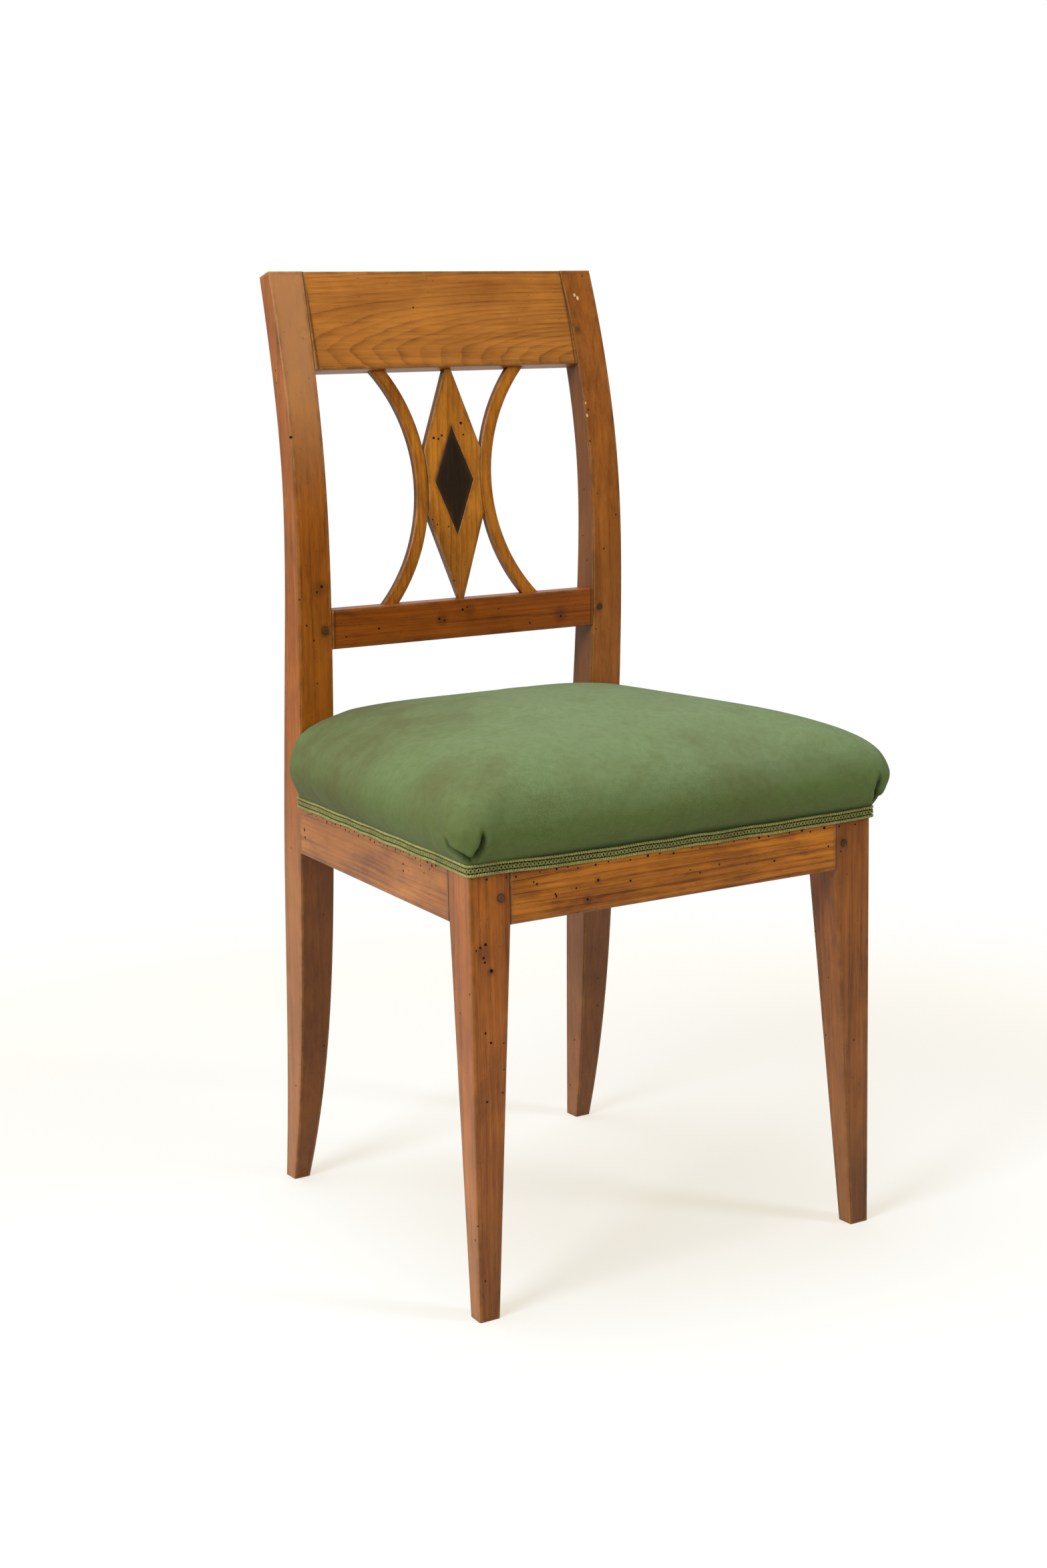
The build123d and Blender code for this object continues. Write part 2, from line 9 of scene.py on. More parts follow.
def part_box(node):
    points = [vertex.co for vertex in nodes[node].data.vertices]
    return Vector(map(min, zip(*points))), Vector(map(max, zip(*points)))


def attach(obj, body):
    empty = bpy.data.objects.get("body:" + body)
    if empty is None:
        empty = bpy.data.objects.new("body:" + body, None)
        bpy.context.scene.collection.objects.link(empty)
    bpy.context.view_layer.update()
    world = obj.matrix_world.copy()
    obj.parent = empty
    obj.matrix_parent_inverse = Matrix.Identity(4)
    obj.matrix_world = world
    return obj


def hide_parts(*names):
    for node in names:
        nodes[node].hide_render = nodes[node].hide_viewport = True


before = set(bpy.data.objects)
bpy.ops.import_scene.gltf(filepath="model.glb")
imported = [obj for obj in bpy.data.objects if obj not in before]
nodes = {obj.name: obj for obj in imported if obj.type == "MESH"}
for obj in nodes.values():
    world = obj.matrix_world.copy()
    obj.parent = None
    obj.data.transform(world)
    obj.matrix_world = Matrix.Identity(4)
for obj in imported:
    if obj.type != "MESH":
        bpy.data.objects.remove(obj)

scene = bpy.context.scene
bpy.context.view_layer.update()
print("frame loaded:", len(nodes), "pieces")


# Small helpers for meshes

def newPiece(name, points, faces, material=None, smooth=True, edges=()):
    mesh = bpy.data.meshes.new(name)
    mesh.from_pydata([tuple(p) for p in points], list(edges), faces)
    mesh.update()
    piece = bpy.data.objects.new(name, mesh)
    scene.collection.objects.link(piece)
    if material:
        mesh.materials.append(material)
    if smooth:
        mesh.shade_smooth()
    return piece


def faceOutward(mesh):
    made = bmesh.new()
    made.from_mesh(mesh)
    bmesh.ops.recalc_face_normals(made, faces=made.faces)
    made.to_mesh(mesh)
    made.free()


def readPoints(mesh, what="co"):
    flat = np.empty(len(mesh.vertices) * 3)
    mesh.vertices.foreach_get(what, flat)
    return flat.reshape(-1, 3)


def writePoints(mesh, shape):
    mesh.vertices.foreach_set("co", shape.ravel())
    mesh.update()


def markPoints(mesh, label, values, kind="FLOAT"):
    # a value at every point, for a finish or a node tree to read
    layer = mesh.attributes.new(label, kind, "POINT")
    layer.data.foreach_set("vector" if kind == "FLOAT_VECTOR" else "value", values)


def cadSurface(*names):
    # the CAD pieces' own triangles, to cast rays at
    points, faces = [], []
    for name in names:
        mesh = nodes[name].data
        start = len(points)
        points += [v.co.copy() for v in mesh.vertices]
        faces += [[start + i for i in p.vertices] for p in mesh.polygons]
    return BVHTree.FromPolygons(points, faces)


def bearingRay(bearing):
    # outwards at a bearing round the chair, 0 is the front and + goes to the right
    return Vector((math.sin(bearing), -math.cos(bearing), 0))


# Small helpers for node trees

def fill(tree, node, values):
    # links a socket to each named input, or sets a plain value there
    for key, value in values.items():
        if isinstance(value, bpy.types.NodeSocket):
            tree.links.new(value, node.inputs[key])
        else:
            node.inputs[key].default_value = value
    return node


def addNode(tree, kind, values=None, **settings):
    node = tree.nodes.new(kind)
    for key, value in settings.items():
        setattr(node, key, value)
    return fill(tree, node, values or {})


def sums(tree, operation, *values, clamp=False):
    node = addNode(tree, "ShaderNodeMath", dict(enumerate(values)), operation=operation, use_clamp=clamp)
    return node.outputs[0]


def times(tree, first, second, clamp=False):
    return sums(tree, "MULTIPLY", first, second, clamp=clamp)


def timesPlus(tree, first, second, third, clamp=False):
    return sums(tree, "MULTIPLY_ADD", first, second, third, clamp=clamp)


def vectors(tree, operation, *values):
    made = addNode(tree, "ShaderNodeVectorMath", dict(enumerate(values)), operation=operation).outputs
    return made["Value"] if operation in ("DOT_PRODUCT", "LENGTH") else made["Vector"]


def farFrom(tree, place, middle):
    return vectors(tree, "LENGTH", vectors(tree, "SUBTRACT", place, middle))


def split(tree, vector):
    return addNode(tree, "ShaderNodeSeparateXYZ", {0: vector}).outputs


def mixed(tree, share, first, second):
    return addNode(tree, "ShaderNodeMix", {0: share, 6: first, 7: second}, data_type="RGBA").outputs[2]


def stretched(tree, value, low, high, newLow=0.0, newHigh=1.0, smooth=True):
    return addNode(tree, "ShaderNodeMapRange", {0: value, 1: low, 2: high, 3: newLow, 4: newHigh},
                   interpolation_type="SMOOTHSTEP" if smooth else "LINEAR").outputs[0]


def cloudy(tree, place, scale, detail=3.0, rough=0.5, bend=0.0):
    noise = addNode(tree, "ShaderNodeTexNoise", {
        "Vector": place, "Scale": scale, "Detail": detail, "Roughness": rough, "Distortion": bend})
    return noise.outputs["Fac"]


def placed(tree, vector, turn=(0, 0, 0), size=(1, 1, 1)):
    return addNode(tree, "ShaderNodeMapping", {"Vector": vector, "Rotation": turn, "Scale": size}).outputs[0]


def newGroup(name, inputs, outputs):
    tree = bpy.data.node_groups.new(name, "ShaderNodeTree")
    for label, value in inputs.items():
        kind = "Float" if isinstance(value, float) else ("Color" if len(value) == 4 else "Vector")
        socket = tree.interface.new_socket(label, in_out="INPUT", socket_type="NodeSocket" + kind)
        socket.default_value = value
    for label, kind in outputs.items():
        tree.interface.new_socket(label, in_out="OUTPUT", socket_type="NodeSocket" + kind)
    return tree, addNode(tree, "NodeGroupInput").outputs, addNode(tree, "NodeGroupOutput")


def useGroup(tree, group, values):
    return addNode(tree, "ShaderNodeGroup", values, node_tree=group).outputs


def tone(red, green, blue):
    # a colour as a paint chip shows it, 0 to 255
    def plain(c):
        c = c / 255
        return c / 12.92 if c <= 0.04045 else ((c + 0.055) / 1.055) ** 2.4
    return (plain(red), plain(green), plain(blue), 1.0)


# Shader groups that several finishes share

origin = (0.0, 0.0, 0.0)


def makeGrain():
    # growth rings, fibre and pores of a plank whose grain runs along X, from a place in metres
    tree, given, out = newGroup("plankGrain", {
        "Place": origin, "Seed": origin, "Pale": (0.5, 0.3, 0.1, 1.0), "Dark": (0.3, 0.1, 0.05, 1.0),
        "Ring Width": 0.004, "Heart": (0.0, 0.0, -0.05), "Dive": 0.02, "Wander": 0.006, "Ring Strength": 0.6,
        "Streaks": 0.5, "Pores": 0.35, "Mottle": 1.2}, {"Color": "Color", "Height": "Float"})
    seeded = vectors(tree, "ADD", given["Place"], given["Seed"])
    # the rings bend slowly along the plank
    slow = placed(tree, seeded, size=(3.2, 9.0, 9.0))
    drift = addNode(tree, "ShaderNodeTexNoise", {
        "Vector": slow, "Scale": 1.0, "Detail": 2.0, "Roughness": 0.45}).outputs["Color"]
    drift = vectors(tree, "SUBTRACT", drift, (0.5, 0.5, 0.5))
    sway = addNode(tree, "ShaderNodeVectorMath", {0: drift, "Scale": given["Wander"]}, operation="SCALE")
    bent = vectors(tree, "ADD", given["Place"], sway.outputs[0])
    parts = split(tree, vectors(tree, "SUBTRACT", bent, given["Heart"]))
    # the heart dives through the plank, so that its rings close to flames
    deep = timesPlus(tree, parts["X"], given["Dive"], parts["Y"])
    squares = [sums(tree, "POWER", side, 2.0) for side in (parts["Z"], deep)]
    radius = sums(tree, "SQRT", sums(tree, "ADD", *squares))
    uneven = cloudy(tree, placed(tree, seeded, size=(6.0, 60.0, 60.0)), 1.0, 2.0)
    ring = timesPlus(tree, uneven, 1.3, sums(tree, "DIVIDE", radius, given["Ring Width"]))
    turn = sums(tree, "FRACT", ring)
    rings = times(tree, sums(tree, "POWER", turn, 2.6), stretched(tree, turn, 0.93, 1.0, 1.0, 0.0))
    nth = sums(tree, "FLOOR", ring)
    eachRing = addNode(tree, "ShaderNodeTexWhiteNoise", {"W": nth}, noise_dimensions="1D").outputs["Value"]
    rings = times(tree, rings, stretched(tree, eachRing, 0.0, 1.0, 0.3, 1.0, False))
    # fibre: long thin streaks, coarse and fine
    fibre = vectors(tree, "ADD", bent, given["Seed"])
    coarse = cloudy(tree, placed(tree, fibre, size=(5.0, 260.0, 260.0)), 1.0, 3.0, 0.6)
    fine = cloudy(tree, placed(tree, fibre, size=(22.0, 1500.0, 1500.0)), 1.0, 3.0, 0.65)
    streak = timesPlus(tree, fine, 0.45, times(tree, coarse, 0.55))
    streak = stretched(tree, streak, 0.36, 0.64, smooth=False)
    pore = cloudy(tree, placed(tree, fibre, size=(70.0, 2100.0, 2100.0)), 1.0, 1.0, 0.5)
    pore = times(tree, stretched(tree, pore, 0.64, 0.74), given["Pores"])
    mottle = cloudy(tree, placed(tree, seeded, size=(10.0, 30.0, 30.0)), 1.0, 5.0, 0.62, 0.4)
    share = times(tree, rings, given["Ring Strength"])
    share = timesPlus(tree, sums(tree, "SUBTRACT", 1.0, streak), given["Streaks"], share)
    share = timesPlus(tree, sums(tree, "SUBTRACT", mottle, 0.5), given["Mottle"], share)
    share = sums(tree, "ADD", share, pore, clamp=True)
    rise = timesPlus(tree, streak, 0.35, times(tree, rings, -0.25))
    fill(tree, out, {"Color": mixed(tree, share, given["Pale"], given["Dark"]),
                     "Height": sums(tree, "SUBTRACT", rise, pore)})
    return tree


def makeWear():
    # near an edge the rounded normal leaves the true one: the edge is rubbed, and the band beside it is
    # darkened, part grime and part painted shade
    tree, given, out = newGroup(
        "rubbedEdge", {"Reach": 0.006, "Round": 0.0025, "Amount": 0.8, "Place": origin},
        {"Mask": "Float", "GrimeAndShade": "Float", "Rounded": "Vector"})
    wide = addNode(tree, "ShaderNodeBevel", {"Radius": given["Reach"]}, samples=8).outputs[0]
    narrow = addNode(tree, "ShaderNodeBevel", {"Radius": given["Round"]}, samples=6).outputs[0]
    true = addNode(tree, "ShaderNodeNewGeometry").outputs["True Normal"]
    off = sums(tree, "SUBTRACT", 1.0, vectors(tree, "DOT_PRODUCT", wide, true))
    patchy = stretched(tree, cloudy(tree, given["Place"], 38.0, 4.0, 0.6), 0.36, 0.66, 0.15, 1.0)
    bandPatches = stretched(tree, cloudy(tree, given["Place"], 60.0, 4.0, 0.6), 0.34, 0.62, 0.25, 1.0)
    rubbed = times(tree, stretched(tree, off, 0.05, 0.20), patchy)
    fill(tree, out, {"Mask": times(tree, rubbed, given["Amount"], clamp=True),
                     "GrimeAndShade": times(tree, stretched(tree, off, 0.002, 0.05), bandPatches), "Rounded": narrow})
    return tree


def makeAge():
    # worm holes, small knocks, scratches and cloudy old polish
    tree, given, out = newGroup(
        "oldPolish", {"Place": origin, "Holes": 0.25, "Specks": 0.4, "Cloud": 0.5},
        {"Holes": "Float", "Specks": "Float", "Cloud": "Float", "Scratches": "Float"})
    place = given["Place"]
    crowd = stretched(tree, cloudy(tree, place, 17.0, 2.0), 0.42, 0.66, 0.15, 2.4)

    def dots(scale, share, low, high):
        values = {"Vector": place, "Scale": scale, "Randomness": 1.0}
        cell = addNode(tree, "ShaderNodeTexVoronoi", values).outputs
        pick = addNode(tree, "ShaderNodeSeparateColor", {0: cell["Color"]}).outputs[0]
        chosen = sums(tree, "LESS_THAN", pick, times(tree, share, crowd))
        return times(tree, stretched(tree, cell["Distance"], low, high, 1.0, 0.0), chosen)

    cloud = stretched(tree, cloudy(tree, place, 11.0, 4.0, 0.6), 0.3, 0.7)
    lines = cloudy(tree, placed(tree, place, turn=(0.3, 0.5, 0.8), size=(30.0, 900.0, 30.0)), 1.0, 2.0, 0.5)
    fill(tree, out, {"Holes": dots(75.0, given["Holes"], 0.06, 0.10),
                     "Specks": dots(160.0, given["Specks"], 0.05, 0.13),
                     "Cloud": times(tree, cloud, given["Cloud"]),
                     "Scratches": stretched(tree, lines, 0.68, 0.74)})
    return tree


def makeWeave():
    # plain weave threads on whichever faces look along X, Y or Z
    tree, given, out = newGroup("plainWeave", {
        "Place": origin, "Facing": (0.0, 0.0, 1.0), "Thread": 0.0008, "Slub": 0.4},
        {"Height": "Float", "Shade": "Float"})
    parts = split(tree, given["Place"])
    facing = split(tree, vectors(tree, "ABSOLUTE", given["Facing"]))

    def wave(axis):
        return sums(tree, "SINE", times(tree, sums(tree, "DIVIDE", parts[axis], given["Thread"]), math.pi))

    height = 0.0
    for first, second, look in ("XYZ", "XZY", "YZX"):
        height = timesPlus(tree, times(tree, wave(first), wave(second)), facing[look], height)
    slubs = [cloudy(tree, placed(tree, given["Place"], size=size), 1.0, 2.0)
             for size in ((60.0, 1300.0, 60.0), (1300.0, 60.0, 1300.0))]
    slub = sums(tree, "SUBTRACT", sums(tree, "ADD", *slubs), 1.0)
    shade = timesPlus(tree, height, 0.25, times(tree, slub, given["Slub"]))
    fill(tree, out, {"Height": timesPlus(tree, slub, given["Slub"], height),
                     "Shade": stretched(tree, shade, -0.5, 0.5)})
    return tree


plankGrain, rubbedEdge, oldPolish, plainWeave = makeGrain(), makeWear(), makeAge(), makeWeave()


def newFinish(name):
    finish = bpy.data.materials.new(name)
    finish.use_nodes = True
    tree = finish.node_tree
    tree.nodes.clear()
    shader = addNode(tree, "ShaderNodeBsdfPrincipled")
    addNode(tree, "ShaderNodeOutputMaterial", {"Surface": shader.outputs[0]})
    return finish, tree, shader, addNode(tree, "ShaderNodeTexCoord").outputs["Object"]


def bumped(tree, shader, height, strength, distance, **normal):
    bump = addNode(tree, "ShaderNodeBump", {
        "Height": height, "Strength": strength, "Distance": distance, **normal})
    fill(tree, shader, {"Normal": bump.outputs[0]})


def dress(name, finish):
    nodes[name].data.materials.clear()
    nodes[name].data.materials.append(finish)


# Wood

woodLook = dict(pale=(184, 110, 36), dark=(100, 48, 8), worn=(206, 148, 78), dirtAndShade=(34, 18, 8),
                grimeAndShade=(62, 33, 12), shadeAndSoot=(66, 41, 22), sheenTone=(182, 133, 88), roughness=0.38,
                specular=0.27, coat=0.11, coatRoughness=0.2)


def woodFinish(name, turn=(0, 0, 0), seed=(0, 0, 0), pale=woodLook["pale"], dark=woodLook["dark"],
               rings=0.45, streaks=0.5, ringWidth=0.0045, heart=(0, 0, -0.3), dive=0.02, wander=0.010,
               pores=0.3, wear=0.55, holes=0.4, specks=0.3, mottle=1.7, roughness=woodLook["roughness"],
               sides=0.0, grimeAndShade=0.55, joints=(), stains=(), low=None, dustAndSheen=0.6, paintedSheen=0.0, inner=0.0):
    finish, tree, shader, place = newFinish(name)
    along = placed(tree, place, turn=turn)
    spot = vectors(tree, "ADD", along, seed)
    grain = useGroup(tree, plankGrain, {
        "Place": along, "Seed": seed, "Pale": tone(*pale), "Dark": tone(*dark), "Ring Width": ringWidth,
        "Heart": heart, "Dive": dive, "Wander": wander, "Ring Strength": rings, "Streaks": streaks,
        "Pores": pores, "Mottle": mottle})
    age = useGroup(tree, oldPolish, {"Place": spot, "Holes": holes, "Specks": specks, "Cloud": 0.6})
    rub = useGroup(tree, rubbedEdge, {"Place": spot, "Amount": wear, "Reach": 0.008})
    normal = split(tree, addNode(tree, "ShaderNodeNewGeometry").outputs["Normal"])
    facing, across, level = normal["Y"], normal["X"], split(tree, place)["Z"]
    colour = mixed(tree, times(tree, age["Cloud"], 0.5), grain["Color"], tone(*dark))

    # mixes towards a listed tone: real soil and wear, and also painted shade and painted sheen
    def soilAndPaintedLight(share, kind):
        nonlocal colour
        colour = mixed(tree, share, colour, tone(*woodLook[kind]))

    if sides:
        # the sawn sides of the splat pieces, which face neither front nor back, are darker
        soilAndPaintedLight(stretched(tree, sums(tree, "ABSOLUTE", facing), 0.35, 0.75, sides, 0.0), "grimeAndShade")
    if low:
        # towards the floor the fronts of the legs are darker, a painted shade, and their left sides paler, a
        # painted sheen
        amount, full, none = low
        down = stretched(tree, level, full, none, amount, 0.0)
        soilAndPaintedLight(times(tree, down, stretched(tree, facing, -0.95, -0.5, 1.0, 0.0)), "shadeAndSoot")
        soilAndPaintedLight(times(tree, down, stretched(tree, across, -0.95, -0.5, dustAndSheen, 0.0)), "sheenTone")
    if inner:
        # the face turned to the splat is dark above the seat
        turned = stretched(tree, across, -0.9, -0.5, inner, 0.0)
        soilAndPaintedLight(times(tree, turned, stretched(tree, level, 0.40, 0.46)), "shadeAndSoot")
    if paintedSheen:
        # a painted sheen, a pale reflection, on the upper front of a post
        front = stretched(tree, facing, -0.95, -0.6, paintedSheen, 0.0)
        soilAndPaintedLight(times(tree, stretched(tree, level, 0.64, 0.80), front), "sheenTone")
    # the dark band beside edges: grime with painted shade
    soilAndPaintedLight(times(tree, rub["GrimeAndShade"], grimeAndShade), "grimeAndShade")
    soilAndPaintedLight(rub["Mask"], "worn")
    for axis, at in joints:
        off = sums(tree, "ABSOLUTE", sums(tree, "SUBTRACT", vectors(tree, "DOT_PRODUCT", place, axis), at))
        soilAndPaintedLight(stretched(tree, off, 0.0004, 0.0015, 0.6, 0.0), "grimeAndShade")
    for middle, reach, amount in stains:
        soilAndPaintedLight(stretched(tree, farFrom(tree, place, middle), reach * 0.25, reach, amount, 0.0), "dirtAndShade")
    dents = sums(tree, "MAXIMUM", age["Holes"], times(tree, age["Specks"], 0.6))
    soilAndPaintedLight(times(tree, dents, 0.85), "dirtAndShade")
    dull = timesPlus(tree, age["Cloud"], 0.14, roughness)
    dull = timesPlus(tree, rub["Mask"], 0.10, dull)
    dull = timesPlus(tree, age["Scratches"], 0.08, dull)
    height = timesPlus(tree, dents, -2.5, grain["Height"])
    height = timesPlus(tree, age["Scratches"], -0.3, height)
    fill(tree, shader, {
        "Base Color": colour, "Roughness": timesPlus(tree, dents, 0.35, dull, clamp=True),
        "Specular IOR Level": woodLook["specular"], "Coat Weight": woodLook["coat"],
        "Coat Roughness": woodLook["coatRoughness"]})
    bumped(tree, shader, height, 0.35, 0.0003, Normal=rub["Rounded"])
    return finish


upright = dict(turn=(0, math.pi / 2, 0))  # grain up the leg
sideTurn = math.atan2(0.363, 0.030)  # the side rails follow the seat's taper
# low paints shade on the fronts and sheen on the left sides, towards the floor
frontLeg = dict(upright, rings=0.35, streaks=0.6, ringWidth=0.006, specks=0.5, low=(0.42, -0.02, 0.30))
rearLeg = dict(upright, rings=0.3, ringWidth=0.007, low=(0.50, 0.30, 0.44))
sideRail = dict(pale=(190, 119, 48), dark=(94, 46, 12), rings=0.4, streaks=0.6, specks=0.6, holes=0.5,
                joints=(((0, 1, 0), -0.1665), ((0, 1, 0), 0.1565)))
splat = dict(upright, sides=0.85, grimeAndShade=0.65)
bow = dict(splat, pale=(198, 122, 34), dark=(112, 58, 9))


def bothEnds(far):
    # the joint lines at the two ends of a cross rail
    return (((1, 0, 0), far), ((1, 0, 0), -far))


# stains are a middle, a reach and an amount
woodPieces = {
    "front_leg_left": dict(
        frontLeg, seed=(0.31, 0.1, 0.02), pale=(184, 106, 32), dark=(96, 46, 9), holes=0.7,
        stains=(((-0.1815, -0.2065, 0.363), 0.0062, 0.6), ((-0.1925, -0.2065, 0.302), 0.006, 0.4),
                ((-0.200, -0.2065, 0.319), 0.012, 0.3))),
    "front_leg_right": dict(
        frontLeg, seed=(0.93, -0.3, 0.02), pale=(166, 97, 35), dark=(86, 44, 12),
        stains=(((0.1815, -0.2065, 0.363), 0.0062, 0.6),)),
    "rear_leg_left": dict(
        # this post has a painted sheen up its front, and its edge wear is raised to paint a highlight as
        # well as real rubbing
        rearLeg, seed=(1.7, 0.2, 0.3), pale=(174, 99, 25), dark=(96, 45, 7), paintedSheen=0.62, wear=0.8,
        stains=(((-0.154, 0.1414, 0.550), 0.0075, 0.6), ((-0.158, 0.1402, 0.590), 0.012, 0.35))),
    "rear_leg_right": dict(
        rearLeg, seed=(2.3, -0.1, -0.2), pale=(172, 102, 38), dark=(98, 51, 15), dustAndSheen=0.25, wear=0.7,
        inner=0.5,
        stains=(((0.154, 0.1414, 0.550), 0.0055, 0.35), ((0.151, 0.169, 0.822), 0.0055, 0.55))),
    "front_rail": dict(
        seed=(0.2, 0.15, 0.05), pale=(210, 128, 34), dark=(92, 42, 4), rings=0.95, streaks=0.68,
        ringWidth=0.0056, wander=0.006, pores=0.45, holes=0.6, specks=0.5, joints=bothEnds(0.172),
        stains=(((-0.0963, -0.2065, 0.350), 0.007, 0.4), ((-0.0853, -0.2065, 0.365), 0.005, 0.35))),
    "rear_rail": dict(seed=(1.2, 0.35, 0.15), rings=0.4),
    "side_rail_left": dict(sideRail, turn=(0, 0, -sideTurn), seed=(0.4, 0.2, 0.1)),
    "side_rail_right": dict(sideRail, turn=(0, 0, sideTurn), seed=(0.7, -0.2, 0.1)),
    "stay_rail": dict(
        seed=(0.5, 0.45, 0.2), pale=(166, 86, 16), dark=(92, 40, 4), rings=0.35, streaks=0.6, holes=0.6,
        specks=0.5, grimeAndShade=0.6, joints=bothEnds(0.1439),
        stains=(((-0.028, 0.1414, 0.551), 0.010, 0.4), ((0.108, 0.1418, 0.545), 0.012, 0.4),
                ((0.004, 0.1411, 0.559), 0.009, 0.3))),
    "crest_rail": dict(
        seed=(0.1, -0.2, -0.85), pale=(193, 124, 52), dark=(120, 68, 20), rings=0.6, streaks=0.55,
        heart=(0.112, 0.182, 0.790), dive=0.16, ringWidth=0.0036, wander=0.012, wear=0.4, holes=0.1,
        specks=0.12, mottle=1.1, joints=bothEnds(0.1418)),
    "splat_bow_left": dict(bow, seed=(0.15, 0.4, 0.3)),
    "splat_bow_right": dict(bow, seed=(0.45, 0.7, 0.1)),
    "splat_lozenge": dict(
        splat, seed=(0.75, 0.9, 0.2), pale=(200, 126, 38), dark=(112, 60, 10), rings=0.6, ringWidth=0.005,
        holes=0.5, low=(0.25, 0.58, 0.68)),
}

for name, look in woodPieces.items():
    dress(name, woodFinish(name.replace("_", " ").title().replace(" ", ""), **look))
print("fruitwood on", len(woodPieces), "pieces")

pegWood = woodFinish("pegWood", pale=(70, 38, 15), dark=(42, 22, 9), rings=0.2, streaks=0.6, wear=0.2,
                     holes=0.0)
for name in ("front_rail_pegs", "stay_rail_pegs", "crest_rail_pegs"):
    dress(name, pegWood)

ebony = woodFinish("ebonisedInlay", pale=(52, 37, 22), dark=(18, 12, 7), rings=0.3, streaks=0.6, wear=0.05,
                   holes=0.05, roughness=0.36, **upright)
dress("lozenge_inlay", ebony)

blockLook = dict(pale=(184, 140, 88), dark=(128, 88, 48), rings=0.3, streaks=0.5, wear=0.4, roughness=0.6)
blockTurns = {"front_right": 0.75, "front_left": -0.75, "rear_right": -0.75, "rear_left": 0.75}
for corner, turn in blockTurns.items():
    label = "cornerBlock" + corner.title().replace("_", "")
    dress("corner_block_" + corner, woodFinish(label, turn=(0, 0, turn), **blockLook))


# Metal

def metalFinish(name, pale, dark, metallic, roughness):
    finish, tree, shader, place = newFinish(name)
    age = useGroup(tree, oldPolish, {"Place": place, "Holes": 0.3, "Specks": 0.8, "Cloud": 1.0})
    rust = stretched(tree, cloudy(tree, place, 420.0, 4.0, 0.6), 0.42, 0.6)
    rust = sums(tree, "MAXIMUM", rust, age["Specks"])
    fill(tree, shader, {
        "Base Color": mixed(tree, rust, tone(*pale), tone(*dark)),
        "Roughness": timesPlus(tree, rust, 0.3, roughness),
        "Metallic": stretched(tree, rust, 0.0, 1.0, metallic, metallic * 0.3)})
    bumped(tree, shader, rust, 0.3, 0.0002)
    return finish


tackLook = ((74, 74, 80), (70, 44, 28), 0.8, 0.45)
dress("corner_block_screws", metalFinish("oldScrew", (150, 146, 138), (92, 66, 44), 0.9, 0.38))
dress("webbing_tacks", metalFinish("blueTack", *tackLook))
dress("cover_tacks", metalFinish("coverTack", *tackLook))
print("pegs, inlay, blocks and metal done")


# Worm holes and chips: small marks laid on the wood by Geometry Nodes
# each is a place across, a height and a radius in millimetres, seen from the front or from one side

markLook = dict(lift=0.00008, corners=9, least=0.75, most=1.15)
wormHoles = {
    "front": [
        # lozenge
        (-20, 723, 1.3), (-15, 722, 1.1), (-11, 725, 1.2), (11, 736, 1.4), (13, 725, 0.9), (-22, 641, 0.9),
        (-27, 646, 0.8),
        # stay rail and left post
        (-5, 559, 1.2), (-31, 552, 1.3), (-25, 550, 1.0), (0, 561, 0.9), (108, 544, 1.4), (72, 540, 1.1),
        (-97, 548, 1.2), (-132, 543, 1.0), (-157, 592, 1.5), (-162, 587, 1.1), (-166, 542, 1.0),
        # left front leg
        (-192, 303, 1.7), (-197, 326, 1.3), (-202, 324, 1.1), (-206, 322, 0.9), (-199, 315, 1.2),
        (-198, 311, 1.0), (-194, 242, 1.1), (-199, 251, 1.2), (-199, 192, 1.0),
        # front rail
        (-149, 372, 1.0), (-146, 370, 1.2), (-128, 359, 1.0), (-127, 357, 1.2), (-96, 350, 1.1),
        (-107, 361, 1.0), (-85, 365, 1.3), (-52, 360, 1.0), (163, 362, 1.0), (102, 357, 1.1)],
    "left": [(144, 364, 1.5), (143, 357, 1.5), (-78, 372, 1.2), (-78, 366, 1.1), (-202, 285, 0.9),
             (148, 730, 1.4)],
    "right": []}
chips = {"front": [(157, 853, 1.5), (154, 856, 1.2), (148, 739, 1.3), (148, 751, 0.9)]}
dice = np.random.default_rng(7)


def tackRow(first, last, level, count):
    # old tack holes along the top of a rail
    step = (last - first) / count
    return [(first + step * (k + dice.uniform(0.15, 0.85)), level + dice.uniform(-1.5, 1.0),
             dice.uniform(0.7, 1.3)) for k in range(count)]


wormHoles["left"] += tackRow(-150, 148, 382, 28)
wormHoles["right"] += tackRow(-150, 148, 380.5, 28)
wormHoles["front"] += tackRow(-200, 200, 379.5, 26)


def plainMark(name, inside, rim):
    finish, tree, shader, place = newFinish(name)
    crumbs = cloudy(tree, place, 1400.0, 3.0, 0.6)
    fill(tree, shader, {
        "Base Color": mixed(tree, stretched(tree, crumbs, 0.35, 0.65), tone(*inside), tone(*rim)),
        "Roughness": stretched(tree, crumbs, 0.2, 0.8, 0.75, 0.95), "Specular IOR Level": 0.1})
    bumped(tree, shader, crumbs, 0.5, 0.0002)
    return finish


def newLayer(name, inputs):
    # an empty Geometry Nodes tree with named inputs after the geometry
    tree = bpy.data.node_groups.new(name, "GeometryNodeTree")
    for label, kind in {"Geometry": "Geometry", **inputs}.items():
        tree.interface.new_socket(label, in_out="INPUT", socket_type="NodeSocket" + kind)
    tree.interface.new_socket("Geometry", in_out="OUTPUT", socket_type="NodeSocketGeometry")
    return tree, addNode(tree, "NodeGroupInput").outputs, addNode(tree, "NodeGroupOutput")


